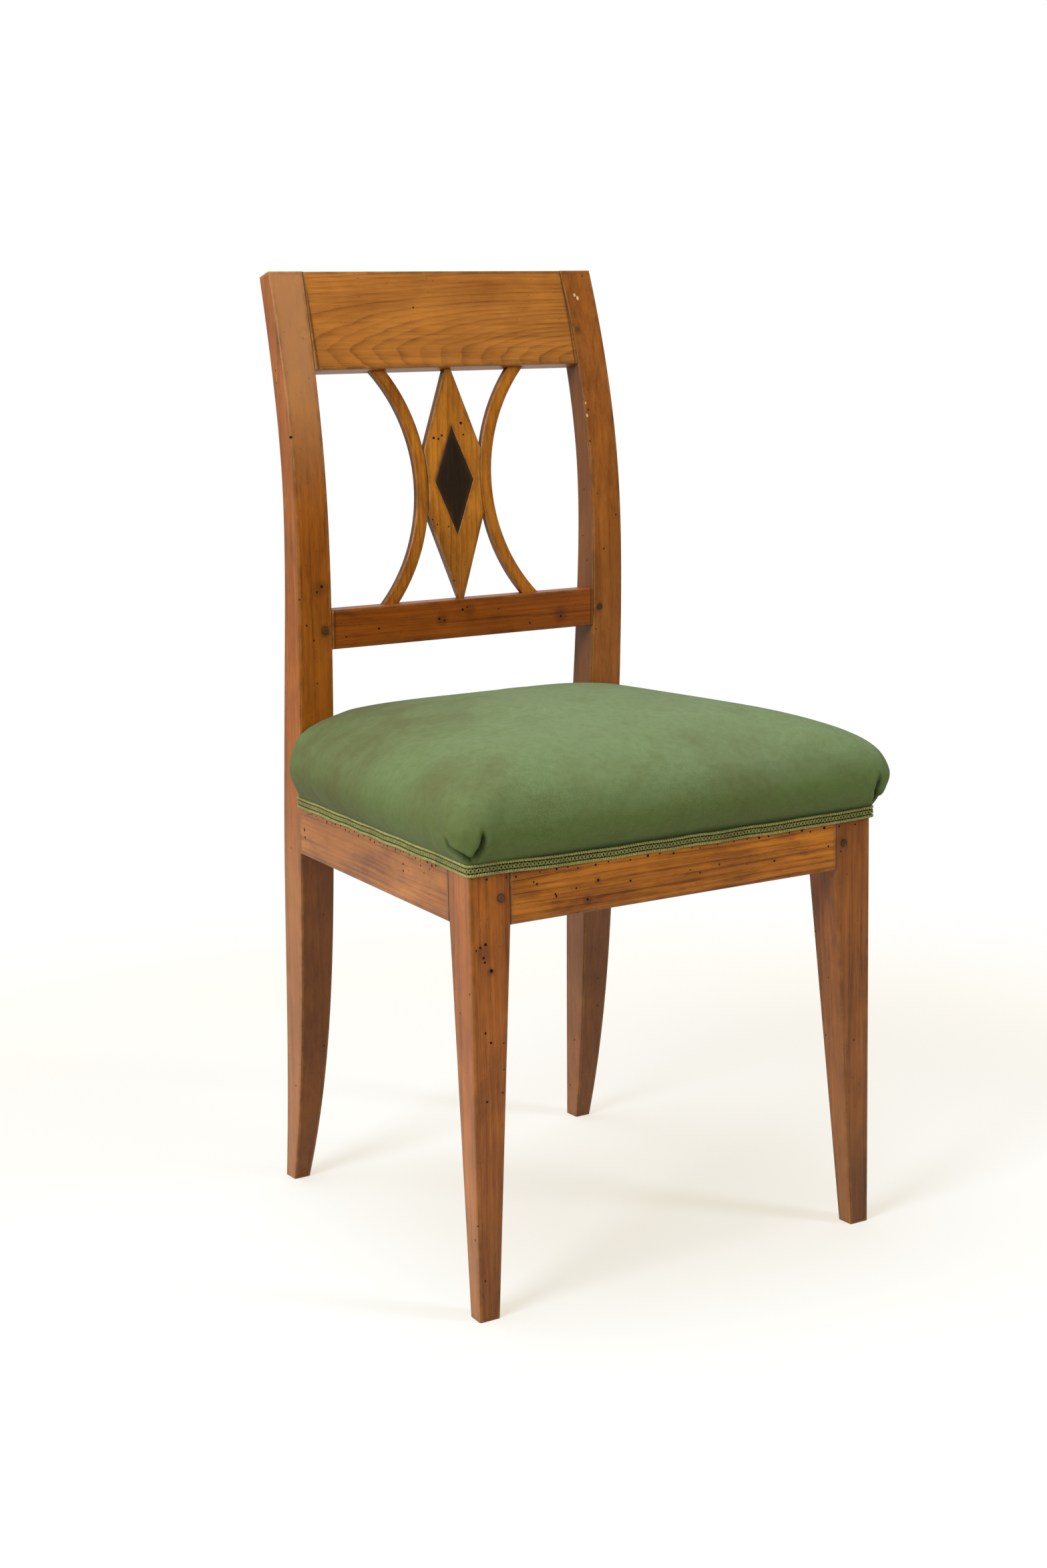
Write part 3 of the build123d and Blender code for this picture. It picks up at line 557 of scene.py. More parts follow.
def layGeometry(piece, tree, values):
    # runs a Geometry Nodes tree on the piece and keeps its result
    layer = piece.modifiers.new("lay", "NODES")
    layer.node_group = tree
    for item in tree.interface.items_tree:
        if item.in_out == "INPUT" and item.name in values:
            layer[item.identifier] = values[item.name]
    made = bpy.data.meshes.new_from_object(piece.evaluated_get(bpy.context.evaluated_depsgraph_get()))
    piece.modifiers.remove(layer)
    piece.data = made


def realPieces(tree, points, shape, turn, finish, **size):
    # a shape on every point, made real and given its finish
    laid = addNode(tree, "GeometryNodeInstanceOnPoints", {
        "Points": points, "Instance": shape, "Rotation": turn, **size}).outputs[0]
    real = addNode(tree, "GeometryNodeRealizeInstances", {"Geometry": laid}).outputs[0]
    return addNode(tree, "GeometryNodeSetMaterial", {"Geometry": real, "Material": finish}).outputs[0]


def makeMarkTree():
    tree, given, out = newLayer("layMarks", {
        "Corners": "Int", "Long": "Float", "Seed": "Int", "Inside": "Material"})

    def fromPoints(label, kind):
        return addNode(tree, "GeometryNodeInputNamedAttribute", {"Name": label}, data_type=kind).outputs[0]

    disc = addNode(tree, "GeometryNodeMeshCircle", {"Vertices": given["Corners"], "Radius": 1.0},
                   fill_type="NGON")
    facing, wide = fromPoints("facing", "FLOAT_VECTOR"), fromPoints("wide", "FLOAT")
    uneven = addNode(tree, "FunctionNodeRandomValue", {
        2: markLook["least"], 3: markLook["most"], "Seed": given["Seed"]}, data_type="FLOAT").outputs[1]
    turn = addNode(tree, "FunctionNodeAlignRotationToVector", {"Vector": facing}, axis="Z").outputs[0]
    size = addNode(tree, "ShaderNodeCombineXYZ", {
        "X": times(tree, wide, uneven), "Y": times(tree, wide, given["Long"]), "Z": wide}).outputs[0]
    dyed = realPieces(tree, given["Geometry"], disc.outputs[0], turn, given["Inside"], Scale=size)
    tree.links.new(dyed, out.inputs[0])
    return tree


markTree = makeMarkTree()
woodSurface = cadSurface(*woodPieces)


def layMarks(name, spots, long, seed, inside):
    places, facings, sizes = [], [], []
    for face, group in spots.items():
        # straight at the wood, from the front or from a side
        side = {"front": 0, "left": -1, "right": 1}[face]
        inward = Vector((-side, 0 if side else 1, 0))
        for across, level, radius in group:
            x, y = (side, across / 1000) if side else (across / 1000, -1)
            spot, facing, _, _ = woodSurface.ray_cast(Vector((x, y, level / 1000)), inward)
            places.append(spot + facing * markLook["lift"])
            facings.extend(facing)
            sizes.append(radius / 1000)
    piece = newPiece(name, places, [], smooth=False)
    markPoints(piece.data, "facing", facings, "FLOAT_VECTOR")
    markPoints(piece.data, "wide", sizes)
    layGeometry(piece, markTree, {
        "Corners": markLook["corners"], "Long": long, "Seed": seed, "Inside": inside})
    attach(piece, "root")
    print("%s: %d" % (name, len(places)))


layMarks("wormHoles", wormHoles, 1.0, 3, plainMark("wormHole", (30, 16, 7), (48, 26, 11)))
layMarks("chips", chips, 1.5, 5, plainMark("bareWood", (226, 196, 150), (200, 156, 104)))


# Cloth finishes

clothLook = dict(fresh=(100, 118, 65), faded=(119, 138, 96), olive=(100, 109, 61), brown=(94, 91, 52),
                 worn=(62, 74, 40), gap=(40, 52, 26), fold=(22, 32, 16), thread=0.0007,
                 fadeMiddle=(0.06, -0.10, 0.465),
                 soilAndPaintedLight=(((-0.20, -0.17, 0.44), 0.07, 0.5), ((-0.17, 0.06, 0.46), 0.17, 0.6),
                       ((0.05, -0.21, 0.44), 0.10, 0.25)))


def coverFinish():
    finish, tree, shader, place = newFinish("greenCover")
    facing = addNode(tree, "ShaderNodeNewGeometry").outputs["Normal"]
    weave = useGroup(tree, plainWeave, {
        "Place": place, "Facing": facing, "Thread": clothLook["thread"], "Slub": 0.5})
    blotch = cloudy(tree, placed(tree, place, size=(1.0, 1.0, 1.6)), 9.0, 4.0, 0.6, 0.4)
    patch = cloudy(tree, place, 26.0, 3.0, 0.55)
    # the sun has faded the middle of the top most
    sun = stretched(tree, split(tree, facing)["Z"], -0.15, 0.7)
    fade = times(tree, sun, stretched(tree, blotch, 0.28, 0.7, 0.75, 1.0))
    away = farFrom(tree, place, clothLook["fadeMiddle"])
    fade = times(tree, fade, stretched(tree, away, 0.10, 0.33, 1.0, 0.42))
    colour = mixed(tree, fade, tone(*clothLook["fresh"]), tone(*clothLook["faded"]))

    def dye(share, kind):
        nonlocal colour
        colour = mixed(tree, share, colour, tone(*clothLook[kind]))

    dye(stretched(tree, patch, 0.45, 0.75, 0.0, 0.35), "olive")
    for middle, reach, amount in clothLook["soilAndPaintedLight"]:
        near = stretched(tree, farFrom(tree, place, middle), reach * 0.3, reach, amount, 0.0)
        dye(times(tree, near, stretched(tree, patch, 0.3, 0.6, 0.4, 1.0)), "brown")
    dye(stretched(tree, cloudy(tree, place, 150.0, 4.0, 0.7), 0.35, 0.7, 0.0, 0.2), "worn")
    dye(stretched(tree, weave["Shade"], 0.0, 1.0, 0.16, 0.0), "gap")
    # painted shade in the pleat folds and along the tucked foot of the cover
    dye(addNode(tree, "ShaderNodeAttribute", attribute_name="foldShade").outputs["Fac"], "fold")
    fill(tree, shader, {
        "Base Color": colour, "Roughness": stretched(tree, blotch, 0.2, 0.8, 0.82, 0.94),
        "Sheen Weight": 0.05, "Sheen Roughness": 0.5, "Specular IOR Level": 0.12})
    bumped(tree, shader, weave["Height"], 0.35, 0.0003)
    return finish


def juteFinish(name, pale, dark, thread, stripe=None):
    finish, tree, shader, place = newFinish(name)
    weave = useGroup(tree, plainWeave, {
        "Place": place, "Facing": (0.0, 0.0, 1.0), "Thread": thread, "Slub": 0.8})
    dustAndSheen = cloudy(tree, place, 24.0, 4.0, 0.6)
    colour = mixed(tree, weave["Shade"], tone(*dark), tone(*pale))
    colour = mixed(tree, stretched(tree, dustAndSheen, 0.4, 0.75, 0.0, 0.45), colour, tone(92, 76, 54))
    if stripe:
        edge = addNode(tree, "ShaderNodeAttribute", attribute_name="stripe").outputs["Fac"]
        colour = mixed(tree, times(tree, edge, 0.7), colour, tone(*stripe))
    fill(tree, shader, {"Base Color": colour, "Roughness": stretched(tree, dustAndSheen, 0.2, 0.8, 0.8, 0.95),
                        "Specular IOR Level": 0.2})
    bumped(tree, shader, weave["Height"], 0.6, 0.0006)
    return finish


def braidFinish(name, deep, light):
    finish, tree, shader, place = newFinish(name)
    hairs = cloudy(tree, place, 900.0, 3.0, 0.6)
    dustAndSheen = cloudy(tree, place, 30.0, 3.0, 0.6)
    colour = mixed(tree, stretched(tree, hairs, 0.3, 0.7), tone(*deep), tone(*light))
    colour = mixed(tree, stretched(tree, dustAndSheen, 0.42, 0.72, 0.0, 0.5), colour, tone(100, 100, 48))
    fill(tree, shader, {"Base Color": colour, "Roughness": stretched(tree, hairs, 0.2, 0.8, 0.7, 0.85),
                        "Sheen Weight": 0.1})
    bumped(tree, shader, hairs, 0.4, 0.0002)
    return finish


greenCover = coverFinish()
webJute = juteFinish("webJute", (176, 150, 106), (122, 98, 62), 0.0016, stripe=(104, 60, 40))
hessianJute = juteFinish("hessianJute", (158, 132, 90), (96, 76, 46), 0.0012)
gimpYarn = braidFinish("gimpYarn", (118, 122, 60), (186, 178, 106))
stitchYarn = braidFinish("stitchYarn", (92, 98, 46), (166, 162, 92))


# Seat cover: rays on the CAD cover give its form, Cloth puffs it, then the pleats go in

seat = dict(fineStep=0.0016, coarseStep=0.0055, fineBand=0.05, rearStep=0.0025, taper=0.07, crown=0.062,
            middleHeight=0.428, rollRings=22, skirtRings=5, rollFoot=0.3935, skirtFoot=0.3842,
            skirtIn=0.0011, under=0.4062, startIn=0.0005, quality=3, pressure=3.0, mass=0.003, stretch=80.0,
            shear=10, bending=10.0, frames=20, cap=0.0025, roundings=12, evenings=8, looseRise=0.010,
            leastLoose=0.1, plumpRise=0.03, postsAt=0.150, postsSoft=0.02, radius=0.21, wavy=0.0011,
            waveRise=0.004, waveFall=0.03, waves=((0.031, 0.4), (0.019, 1.9), (0.0127, 0.8), (0.047, 2.6)),
            shadeTop=0.3985, shadeFade=0.005, dirtAndShade=0.55)
rayReach = 0.9  # rays start a metre out and stop short of the far wall
# the two folds of a front corner's pleat, on the left and in millimetres
# the right corner mirrors them and is flatter
pleat = dict(
    sideFold=dict(line=[(-212.5, -213.5, 398.5), (-218.5, -211.5, 404), (-222.5, -207, 407.5),
                        (-224.5, -200.5, 411.5), (-227.5, -199, 420)], deep=0.0060, dark=0.0034),
    frontFold=dict(line=[(-212, -213.5, 398.5), (-209.5, -217, 405.5), (-207, -220, 411.5),
                         (-206.5, -223, 418), (-208, -225, 427)], deep=0.0050, dark=0.0019),
    wide=0.0021, ridge=0.0016, ridgeAt=0.0055, ridgeWide=0.0030, leftShare=1.0, rightShare=0.45)


def lineSteps(length, firstBand, firstStep, lastBand, lastStep, step):
    # places from 0 to 1 along an edge, closer at its ends
    stops = [i * firstStep for i in range(round(firstBand / firstStep))]
    middle = length - firstBand - lastBand
    count = max(2, round(middle / step))
    stops += [firstBand + middle * i / count for i in range(count)]
    stops += [length - lastBand + i * lastStep for i in range(round(lastBand / lastStep) + 1)]
    return np.array(stops) / stops[-1]


def makeCoverMesh():
    outer = cadSurface("seat_cover")
    low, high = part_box("seat_cover")
    width, depth = high[0] - low[0], high[1] - low[1]
    band, fineStep = seat["fineBand"], seat["fineStep"]
    across = lineSteps(width, band, fineStep, band, fineStep, seat["coarseStep"]) * 2 - 1
    back = lineSteps(depth, band, fineStep, band, seat["rearStep"], seat["coarseStep"]) * 2 - 1
    nx, ny = len(across), len(back)
    centre = Vector((0, (low[1] + high[1]) / 2, 0))
    points, faces, pinned = [], [], []

    def planPoint(u, v, level):
        return Vector((u * width / 2 * (1 - seat["taper"] * (v + 1)), centre.y + v * depth / 2, level))

    def hit(target, level):
        # from outside straight in towards the middle at that level
        start = Vector((centre.x, centre.y, level))
        away = (target - start).normalized()
        return outer.ray_cast(start + away, -away, rayReach)[0]

    # the top, a grid from the roll's widest line to the crown
    index = {}
    for j, v in enumerate(back):
        for i, u in enumerate(across):
            rise = seat["crown"] * math.sqrt(max(0.0, 1 - max(abs(u), abs(v)) ** 5))
            target = planPoint(u, v, seat["middleHeight"] + rise)
            index[i, j] = len(points)
            points.append(hit(target, seat["middleHeight"]) or target)
    cells = [(i, j) for j in range(ny - 1) for i in range(nx - 1)]
    faces += [(index[i, j], index[i + 1, j], index[i + 1, j + 1], index[i, j + 1]) for i, j in cells]
    border = [(i, 0) for i in range(nx)] + [(nx - 1, j) for j in range(1, ny)]
    border += [(i, ny - 1) for i in range(nx - 2, -1, -1)] + [(0, j) for j in range(ny - 2, 0, -1)]
    count = len(border)
    ring = [index[b] for b in border]

    def addRing(spots, level, inset, pin):
        nonlocal ring
        made = []
        for spot in spots:
            out = Vector((spot.x - centre.x, spot.y - centre.y, 0)).normalized()
            made.append(len(points))
            points.append(Vector((spot.x, spot.y, level)) - out * inset)
        if pin:
            pinned.extend(made)
        for k in range(count):
            faces.append((ring[k], made[k], made[(k + 1) % count], ring[(k + 1) % count]))
        ring = made

    def wallRing(level, pin):
        # behind the posts there is no cover to find, and the ring above is followed
        spots = [hit(planPoint(across[i], back[j], level), level) or points[above]
                 for above, (i, j) in zip(ring, border)]
        addRing(spots, level, 0.0, pin)

    rollTop, rollFoot, skirtFoot = seat["middleHeight"], seat["rollFoot"], seat["skirtFoot"]
    rolls, skirts = seat["rollRings"], seat["skirtRings"]
    for step in range(1, rolls + 1):
        wallRing(rollTop - (rollTop - rollFoot) * step / rolls, step > rolls - 2)
    for step in range(1, skirts + 1):
        wallRing(rollFoot - (rollFoot - skirtFoot) * step / skirts, True)
    # the wall's inside, taken from the skirt's own outline
    skirt = [points[k] for k in ring]
    for level in (skirtFoot, seat["under"]):
        addRing(skirt, level, seat["skirtIn"], True)

    # the underside, a grid that looks from the middle at its rim
    lowIndex = dict(zip(border, ring))
    rim = {b: points[k] for b, k in lowIndex.items()}
    front, rear = (np.array([rim[i, j] for i in range(nx)]) for j in (0, ny - 1))
    left, right = (np.array([rim[i, j] for j in range(ny)]) for i in (0, nx - 1))
    middle = np.array((centre.x, centre.y, seat["under"]))

    def onRim(u, v):
        if abs(v) >= abs(u):
            line, stops, at = rear if v > 0 else front, across, u / max(abs(v), 1e-9)
        else:
            line, stops, at = right if u > 0 else left, back, v / abs(u)
        return np.array([np.interp(at, stops, line[:, k]) for k in range(3)])

    for j in range(1, ny - 1):
        for i in range(1, nx - 1):
            reach = max(abs(across[i]), abs(back[j]))
            lowIndex[i, j] = len(points)
            pinned.append(len(points))
            points.append(Vector(middle + (onRim(across[i], back[j]) - middle) * reach))
    faces += [(lowIndex[i, j], lowIndex[i, j + 1], lowIndex[i + 1, j + 1], lowIndex[i + 1, j])
              for i, j in cells]
    return points, faces, pinned


def puffCover(piece, pinned):
    # the cloth simulation, with its result capped and kept
    mesh = piece.data
    loose = np.ones(len(mesh.vertices))
    loose[pinned] = 0.0
    start = readPoints(mesh) - readPoints(mesh, "normal") * (seat["startIn"] * loose)[:, None]
    writePoints(mesh, start)
    hold = piece.vertex_groups.new(name="held")
    hold.add([int(k) for k in pinned], 1.0, "REPLACE")
    cloth = piece.modifiers.new("puff", "CLOTH")
    settings = cloth.settings
    settings.quality = seat["quality"]
    settings.mass = seat["mass"]
    settings.tension_stiffness = settings.compression_stiffness = seat["stretch"]
    settings.shear_stiffness = seat["shear"]
    settings.bending_stiffness = seat["bending"]
    settings.use_pressure = True
    settings.uniform_pressure_force = seat["pressure"]
    settings.vertex_group_mass = "held"
    settings.effector_weights.gravity = 0
    cloth.collision_settings.use_collision = False
    cloth.collision_settings.use_self_collision = False
    for number in range(1, seat["frames"] + 1):
        scene.frame_set(number)
    move = readPoints(piece.evaluated_get(bpy.context.evaluated_depsgraph_get()).data) - start
    piece.modifiers.remove(cloth)
    piece.vertex_groups.remove(hold)
    scene.frame_set(1)
    size = np.linalg.norm(move, axis=1)
    move *= np.minimum(1.0, seat["cap"] / np.maximum(size, 1e-9))[:, None] * loose[:, None]
    print("cover puffed: mean %.2f mm, most %.2f mm" % (1000 * size[loose > 0].mean(), 1000 * size.max()))
    return start + move


def roundCover(shape, mesh, loose, rounds):
    # evens the loose cloth out, so that the corners turn softly
    ends = np.empty(len(mesh.edges) * 2, dtype=int)
    mesh.edges.foreach_get("vertices", ends)
    a, b = ends.reshape(-1, 2).T
    count = np.bincount(np.concatenate([a, b]), minlength=len(shape))[:, None]
    for _ in range(rounds):
        near = np.zeros_like(shape)
        np.add.at(near, a, shape[b])
        np.add.at(near, b, shape[a])
        shape = shape + 0.5 * loose[:, None] * (near / count - shape)
    return shape


def toLine(shape, line):
    # distance to a polyline and how far along it the nearest place is, 0 to 1
    line = np.array(line)
    best, where = np.full(len(shape), 9.0), np.zeros(len(shape))
    for k in range(len(line) - 1):
        step = line[k + 1] - line[k]
        t = np.clip(((shape - line[k]) @ step) / (step @ step), 0, 1)
        far = np.linalg.norm(shape - line[k] - t[:, None] * step, axis=1)
        nearer = far < best
        best[nearer] = far[nearer]
        where[nearer] = ((k + t) / (len(line) - 1))[nearer]
    return best, where


def pleatCorner(shape, surface, loose, side):
    # two folds that run down to the corner, with a tongue of cloth between them
    shade = np.zeros(len(shape))
    move = np.zeros(len(shape))
    for fold in (pleat["sideFold"], pleat["frontFold"]):
        line = [Vector(p) / 1000 for p in fold["line"]]
        stops = [a.lerp(b, k / 6) for a, b in zip(line, line[1:]) for k in range(6)] + line[-1:]
        far, where = toLine(shape, [surface.find_nearest(Vector((p.x * side, p.y, p.z)))[0] for p in stops])
        fade = np.clip((1.0 - where) * 4, 0, 1) * (where < 1.0)
        move -= fold["deep"] * np.exp(-(far / pleat["wide"]) ** 2) * fade
        move += pleat["ridge"] * np.exp(-((far - pleat["ridgeAt"]) / pleat["ridgeWide"]) ** 2) * fade
        # a painted dark line of shade along each fold
        shade = np.maximum(shade, np.exp(-(far / fold["dark"]) ** 2) * fade)
    return move * loose, shade * loose


def makeSeatCover():
    points, faces, pinned = makeCoverMesh()
    piece = newPiece("seatCover", points, faces, greenCover)
    mesh = piece.data
    faceOutward(mesh)
    shape = np.array([tuple(p) for p in points])
    loose = np.clip((shape[:, 2] - seat["rollFoot"]) / seat["looseRise"], seat["leastLoose"], 1)
    loose[pinned] = 0.0
    shape = roundCover(shape, mesh, loose, seat["roundings"])
    writePoints(mesh, shape)
    shape = roundCover(puffCover(piece, pinned), mesh, loose, seat["evenings"])
    writePoints(mesh, shape)
    normals = readPoints(mesh, "normal")
    level = shape[:, 2]
    rise = np.clip((level - seat["rollFoot"]) / seat["plumpRise"], 0, 1)
    behind = np.clip((seat["postsAt"] - shape[:, 1]) / seat["postsSoft"], 0, 1)
    # the roll comes out to the CAD cover's width again
    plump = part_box("seat_cover")[1][0] - shape[:, 0].max()
    move = plump * loose * rise ** 2 * (3 - 2 * rise) * behind * np.clip(1.15 - normals[:, 2], 0, 1)
    # the tacked foot pulls the cloth into small waves
    around = np.arctan2(shape[:, 0], -shape[:, 1]) * seat["radius"]
    waves = sum(np.sin(around * 2 * np.pi / long + start) for long, start in seat["waves"])
    waves = waves / len(seat["waves"])
    foot = np.clip((level - seat["rollFoot"]) / seat["waveRise"], 0, 1)
    foot = foot * np.clip((seat["middleHeight"] - level) / seat["waveFall"], 0, 1)
    move += seat["wavy"] * waves * foot * loose * behind
    # painted shade where the cloth goes in behind the braid, and in the folds
    shade = seat["dirtAndShade"] * np.clip((seat["shadeTop"] - level) / seat["shadeFade"], 0, 1)
    surface = BVHTree.FromPolygons([Vector(p) for p in shape], faces)
    for side, share in ((1, pleat["leftShare"]), (-1, pleat["rightShare"])):
        more, dark = pleatCorner(shape, surface, loose, side)
        move += more * share
        shade = np.maximum(shade, dark)
    markPoints(mesh, "foldShade", shade)
    writePoints(mesh, shape + normals * move[:, None])
    return piece


seatCover = makeSeatCover()
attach(seatCover, "root")
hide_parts("seat_cover", "seat_stuffing")
print("seat cover:", len(seatCover.data.polygons), "faces")


# Braid: a path on the CAD braid, and Geometry Nodes that lay cords and crossed stitches along it
# a run has its CAD piece, its first and last bearing in degrees and a count of rays
# the braid climbs towards the front corners, between these bearings, and stays up along the sides

braid = dict(
    sizes={"Cord Pitch": 0.0024, "Cord Long": 0.0036, "Cord Thick": 0.0022, "Cord Rise": 0.0040,
           "Cord Tilt": 0.7, "Stitch Pitch": 0.0036, "Stitch Long": 0.0058, "Stitch Thick": 0.0016,
           "Stitch Tilt": 0.85},
    runs={"braidFrontAndSides": ("braid_front_and_sides", -139, 139, 3200),
          "braidBack": ("braid_back", 141, 219, 1200)},
    beadSides=6, beadRings=5, middleHeight=0.387, centreY=-0.02, outward=0.5, inFromFace=0.0010,
    climbAt=(-52, -28, 36, 52), climb=(0.0032, 0.0, 0.0, 0.0016), sway=0.0003, swayTurns=0.4, levelFrom=140)


def makeBraidTree():
    tree, given, out = newLayer("layBraid", {
        **dict.fromkeys(braid["sizes"], "Float"), "Yarn": "Material", "Stitch Yarn": "Material"})

    def made(kind, values=None, **settings):
        return addNode(tree, kind, values, **settings).outputs[0]

    def triple(**values):
        return made("ShaderNodeCombineXYZ", values)

    path = made("GeometryNodeMeshToCurve", {"Mesh": given["Geometry"]})
    joined = addNode(tree, "GeometryNodeJoinGeometry")

    def row(kind, rise, tilt, yarn):
        # one line of beads along the path
        long, thick, pitch = (given[kind + size] for size in (" Long", " Thick", " Pitch"))
        ball = made("GeometryNodeMeshUVSphere", {
            "Segments": braid["beadSides"], "Rings": braid["beadRings"], "Radius": 0.5})
        bead = made("GeometryNodeTransform", {
            "Geometry": ball, "Scale": triple(X=long, Y=thick, Z=thick), "Rotation": triple(Y=tilt)})
        moved = made("GeometryNodeSetPosition", {"Geometry": path, "Offset": triple(Z=rise)})
        spaced = made("GeometryNodeResampleCurve", {"Curve": moved, "Length": pitch}, mode="LENGTH")
        turn = made("FunctionNodeAlignRotationToVector", {"Vector": made("GeometryNodeInputTangent")},
                    axis="X", pivot_axis="Z")
        tree.links.new(realPieces(tree, spaced, bead, turn, given[yarn]), joined.inputs[0])

    def minus(label):
        return times(tree, given[label], -1.0)

    row("Cord", given["Cord Rise"], given["Cord Tilt"], "Yarn")
    row("Cord", minus("Cord Rise"), minus("Cord Tilt"), "Yarn")
    row("Stitch", 0.0, given["Stitch Tilt"], "Stitch Yarn")
    row("Stitch", 0.0, minus("Stitch Tilt"), "Stitch Yarn")
    tree.links.new(made("GeometryNodeSetShadeSmooth", {"Geometry": joined.outputs[0]}), out.inputs[0])
    return tree


braidTree = makeBraidTree()


def braidPath(node, first, last, steps):
    # points round the CAD braid's outer face, between two bearings in degrees
    surface = cadSurface(node)
    centre = Vector((0, braid["centreY"], braid["middleHeight"]))
    path = []
    for bearing in np.linspace(math.radians(first), math.radians(last), steps):
        away = bearingRay(bearing)
        spot, normal, _, _ = surface.ray_cast(centre + away, -away, rayReach)
        if spot and normal.dot(away) > braid["outward"]:
            degrees = math.degrees(bearing)
            climb = np.interp(degrees, braid["climbAt"], braid["climb"])
            climb = climb + braid["sway"] * math.sin(degrees * braid["swayTurns"])
            # the run at the back stays level
            lift = Vector((0, 0, climb if degrees < braid["levelFrom"] else 0))
            path.append(spot - Vector((normal.x, normal.y, 0)) * braid["inFromFace"] + lift)
    return path


def makeBraid(name, node, first, last, steps):
    path = braidPath(node, first, last, steps)
    piece = newPiece(name, path, [], smooth=False, edges=[(k, k + 1) for k in range(len(path) - 1)])
    layGeometry(piece, braidTree, {**braid["sizes"], "Yarn": gimpYarn, "Stitch Yarn": stitchYarn})
    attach(piece, "root")
    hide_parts(node)
    length = sum((b - a).length for a, b in zip(path, path[1:]))
    print("%s: %.0f mm long, %d faces" % (name, 1000 * length, len(piece.data.polygons)))


for name, run in braid["runs"].items():
    makeBraid(name, *run)


# Webbing and hessian, as cloth laid on the rails

web = dict(width=0.050, thick=0.0018, spacing=0.092, ramp=0.010, railTop=0.401, lift=0.0021, clear=0.0001,
           step=0.004, across=8, probeFrom=0.4, probeUp=0.001)
hessian = dict(thick=0.0007, rings=12, around=240)


def thicken(piece, thick, offset):
    wall = piece.modifiers.new("thick", "SOLIDIFY")
    wall.thickness = thick
    wall.offset = offset


def makeStrap(name, start, end, crossings, centre, alongY):
    # lies on the rails and lifts over every second strap
    count = max(2, round((end - start) / web["step"]))
    points, stripes = [], []
    for k in range(count + 1):
        along = start + (end - start) * k / count
        rise = 0.0
        for middle in crossings:
            off = abs(along - middle) - web["width"] / 2
            rise = max(rise, min(1.0, max(0.0, 1 - off / web["ramp"])))
        level = web["railTop"] + web["clear"] + web["lift"] * (3 * rise ** 2 - 2 * rise ** 3)
        for side in range(web["across"] + 1):
            off = centre + (side / web["across"] - 0.5) * web["width"]
            points.append((off, along, level) if alongY else (along, off, level))
            stripes.append(1.0 if side in (1, web["across"] - 1) else 0.0)
    row = web["across"] + 1
    corners = [k * row + s for k in range(count) for s in range(web["across"])]
    faces = [(c, c + 1, c + row + 1, c + row) for c in corners]
    if not alongY:
        faces = [tuple(reversed(f)) for f in faces]
    piece = newPiece(name, points, faces, webJute)
    markPoints(piece.data, "stripe", stripes)
    thicken(piece, web["thick"], 1)
    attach(piece, "root")
    return piece


def makeWebbing():
    offsets = [web["spacing"] * k for k in (-1, 0, 1)]
    lowBack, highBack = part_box("webbing_front_to_back")
    lowSide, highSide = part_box("webbing_side_to_side")
    middle = (lowSide[1] + highSide[1]) / 2
    for k, x in enumerate(offsets):
        crossings = [middle + y for row, y in enumerate(offsets) if (k + row) % 2 == 0]
        strap = makeStrap("webToBack%d" % (k + 1), lowBack[1], highBack[1], crossings, x, True)
        if k == 1:
            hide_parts("webbing_front_to_back")
    surface = cadSurface("webbing_side_to_side")
    for row, offset in enumerate(offsets):
        y = middle + offset
        probe = Vector((web["probeFrom"], y, web["railTop"] + web["probeUp"]))
        end = surface.ray_cast(probe, Vector((-1, 0, 0)))[0].x
        crossings = [x for k, x in enumerate(offsets) if (k + row) % 2 == 1]
        strap = makeStrap("webAcross%d" % (row + 1), -end, end, crossings, y, False)
        if row == 1:
            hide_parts("webbing_side_to_side")
    print("webbing: 6 straps")


def makeHessian():
    # a flat cloth with the CAD hessian's outline
    surface = cadSurface("hessian")
    low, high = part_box("hessian")
    centre = Vector((0, (low[1] + high[1]) / 2, (low[2] + high[2]) / 2))
    around, rings = hessian["around"], hessian["rings"]
    rays = [bearingRay(2 * math.pi * k / around) for k in range(around)]
    rim = [surface.ray_cast(centre + away, -away)[0] for away in rays]
    points = [tuple(centre)]
    for r in range(1, rings + 1):
        points += [tuple(centre + (p - centre) * r / rings) for p in rim]
    faces = [(0, 1 + k, 1 + (k + 1) % around) for k in range(around)]
    for r in range(1, rings):
        a, b = 1 + (r - 1) * around, 1 + r * around
        faces += [(a + k, b + k, b + (k + 1) % around, a + (k + 1) % around) for k in range(around)]
    piece = newPiece("hessianCloth", points, faces, hessianJute)
    thicken(piece, hessian["thick"], 0)
    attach(piece, "root")
    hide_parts("hessian")


makeWebbing()
makeHessian()


# Floor, light and camera

studio = dict(floorTone=(0.66, 0.63, 0.56, 1), seenTone=(0.68, 0.80, 1.0, 1), glow=(1.24, 1.115, 0.86, 1),
              white=(1, 1, 1, 1), roomTone=(1.0, 0.99, 0.97, 1), lift=0.54, whiteFrom=0.55, whiteTo=1.35,
              shineFrom=1.6, shineTo=3.2, shineLeft=0.25, world=0.30, room=0.35, backdrop=0.6,
              sweepAt=(-0.52, 0.75, 0.40))
floorCorners = [(-6, -1.4, 0), (3, -1.4, 0), (3, 7, 0), (-6, 7, 0)]


def mixShaders(tree, share, first, second):
    return addNode(tree, "ShaderNodeMixShader", {0: share, 1: first.outputs[0], 2: second.outputs[0]})


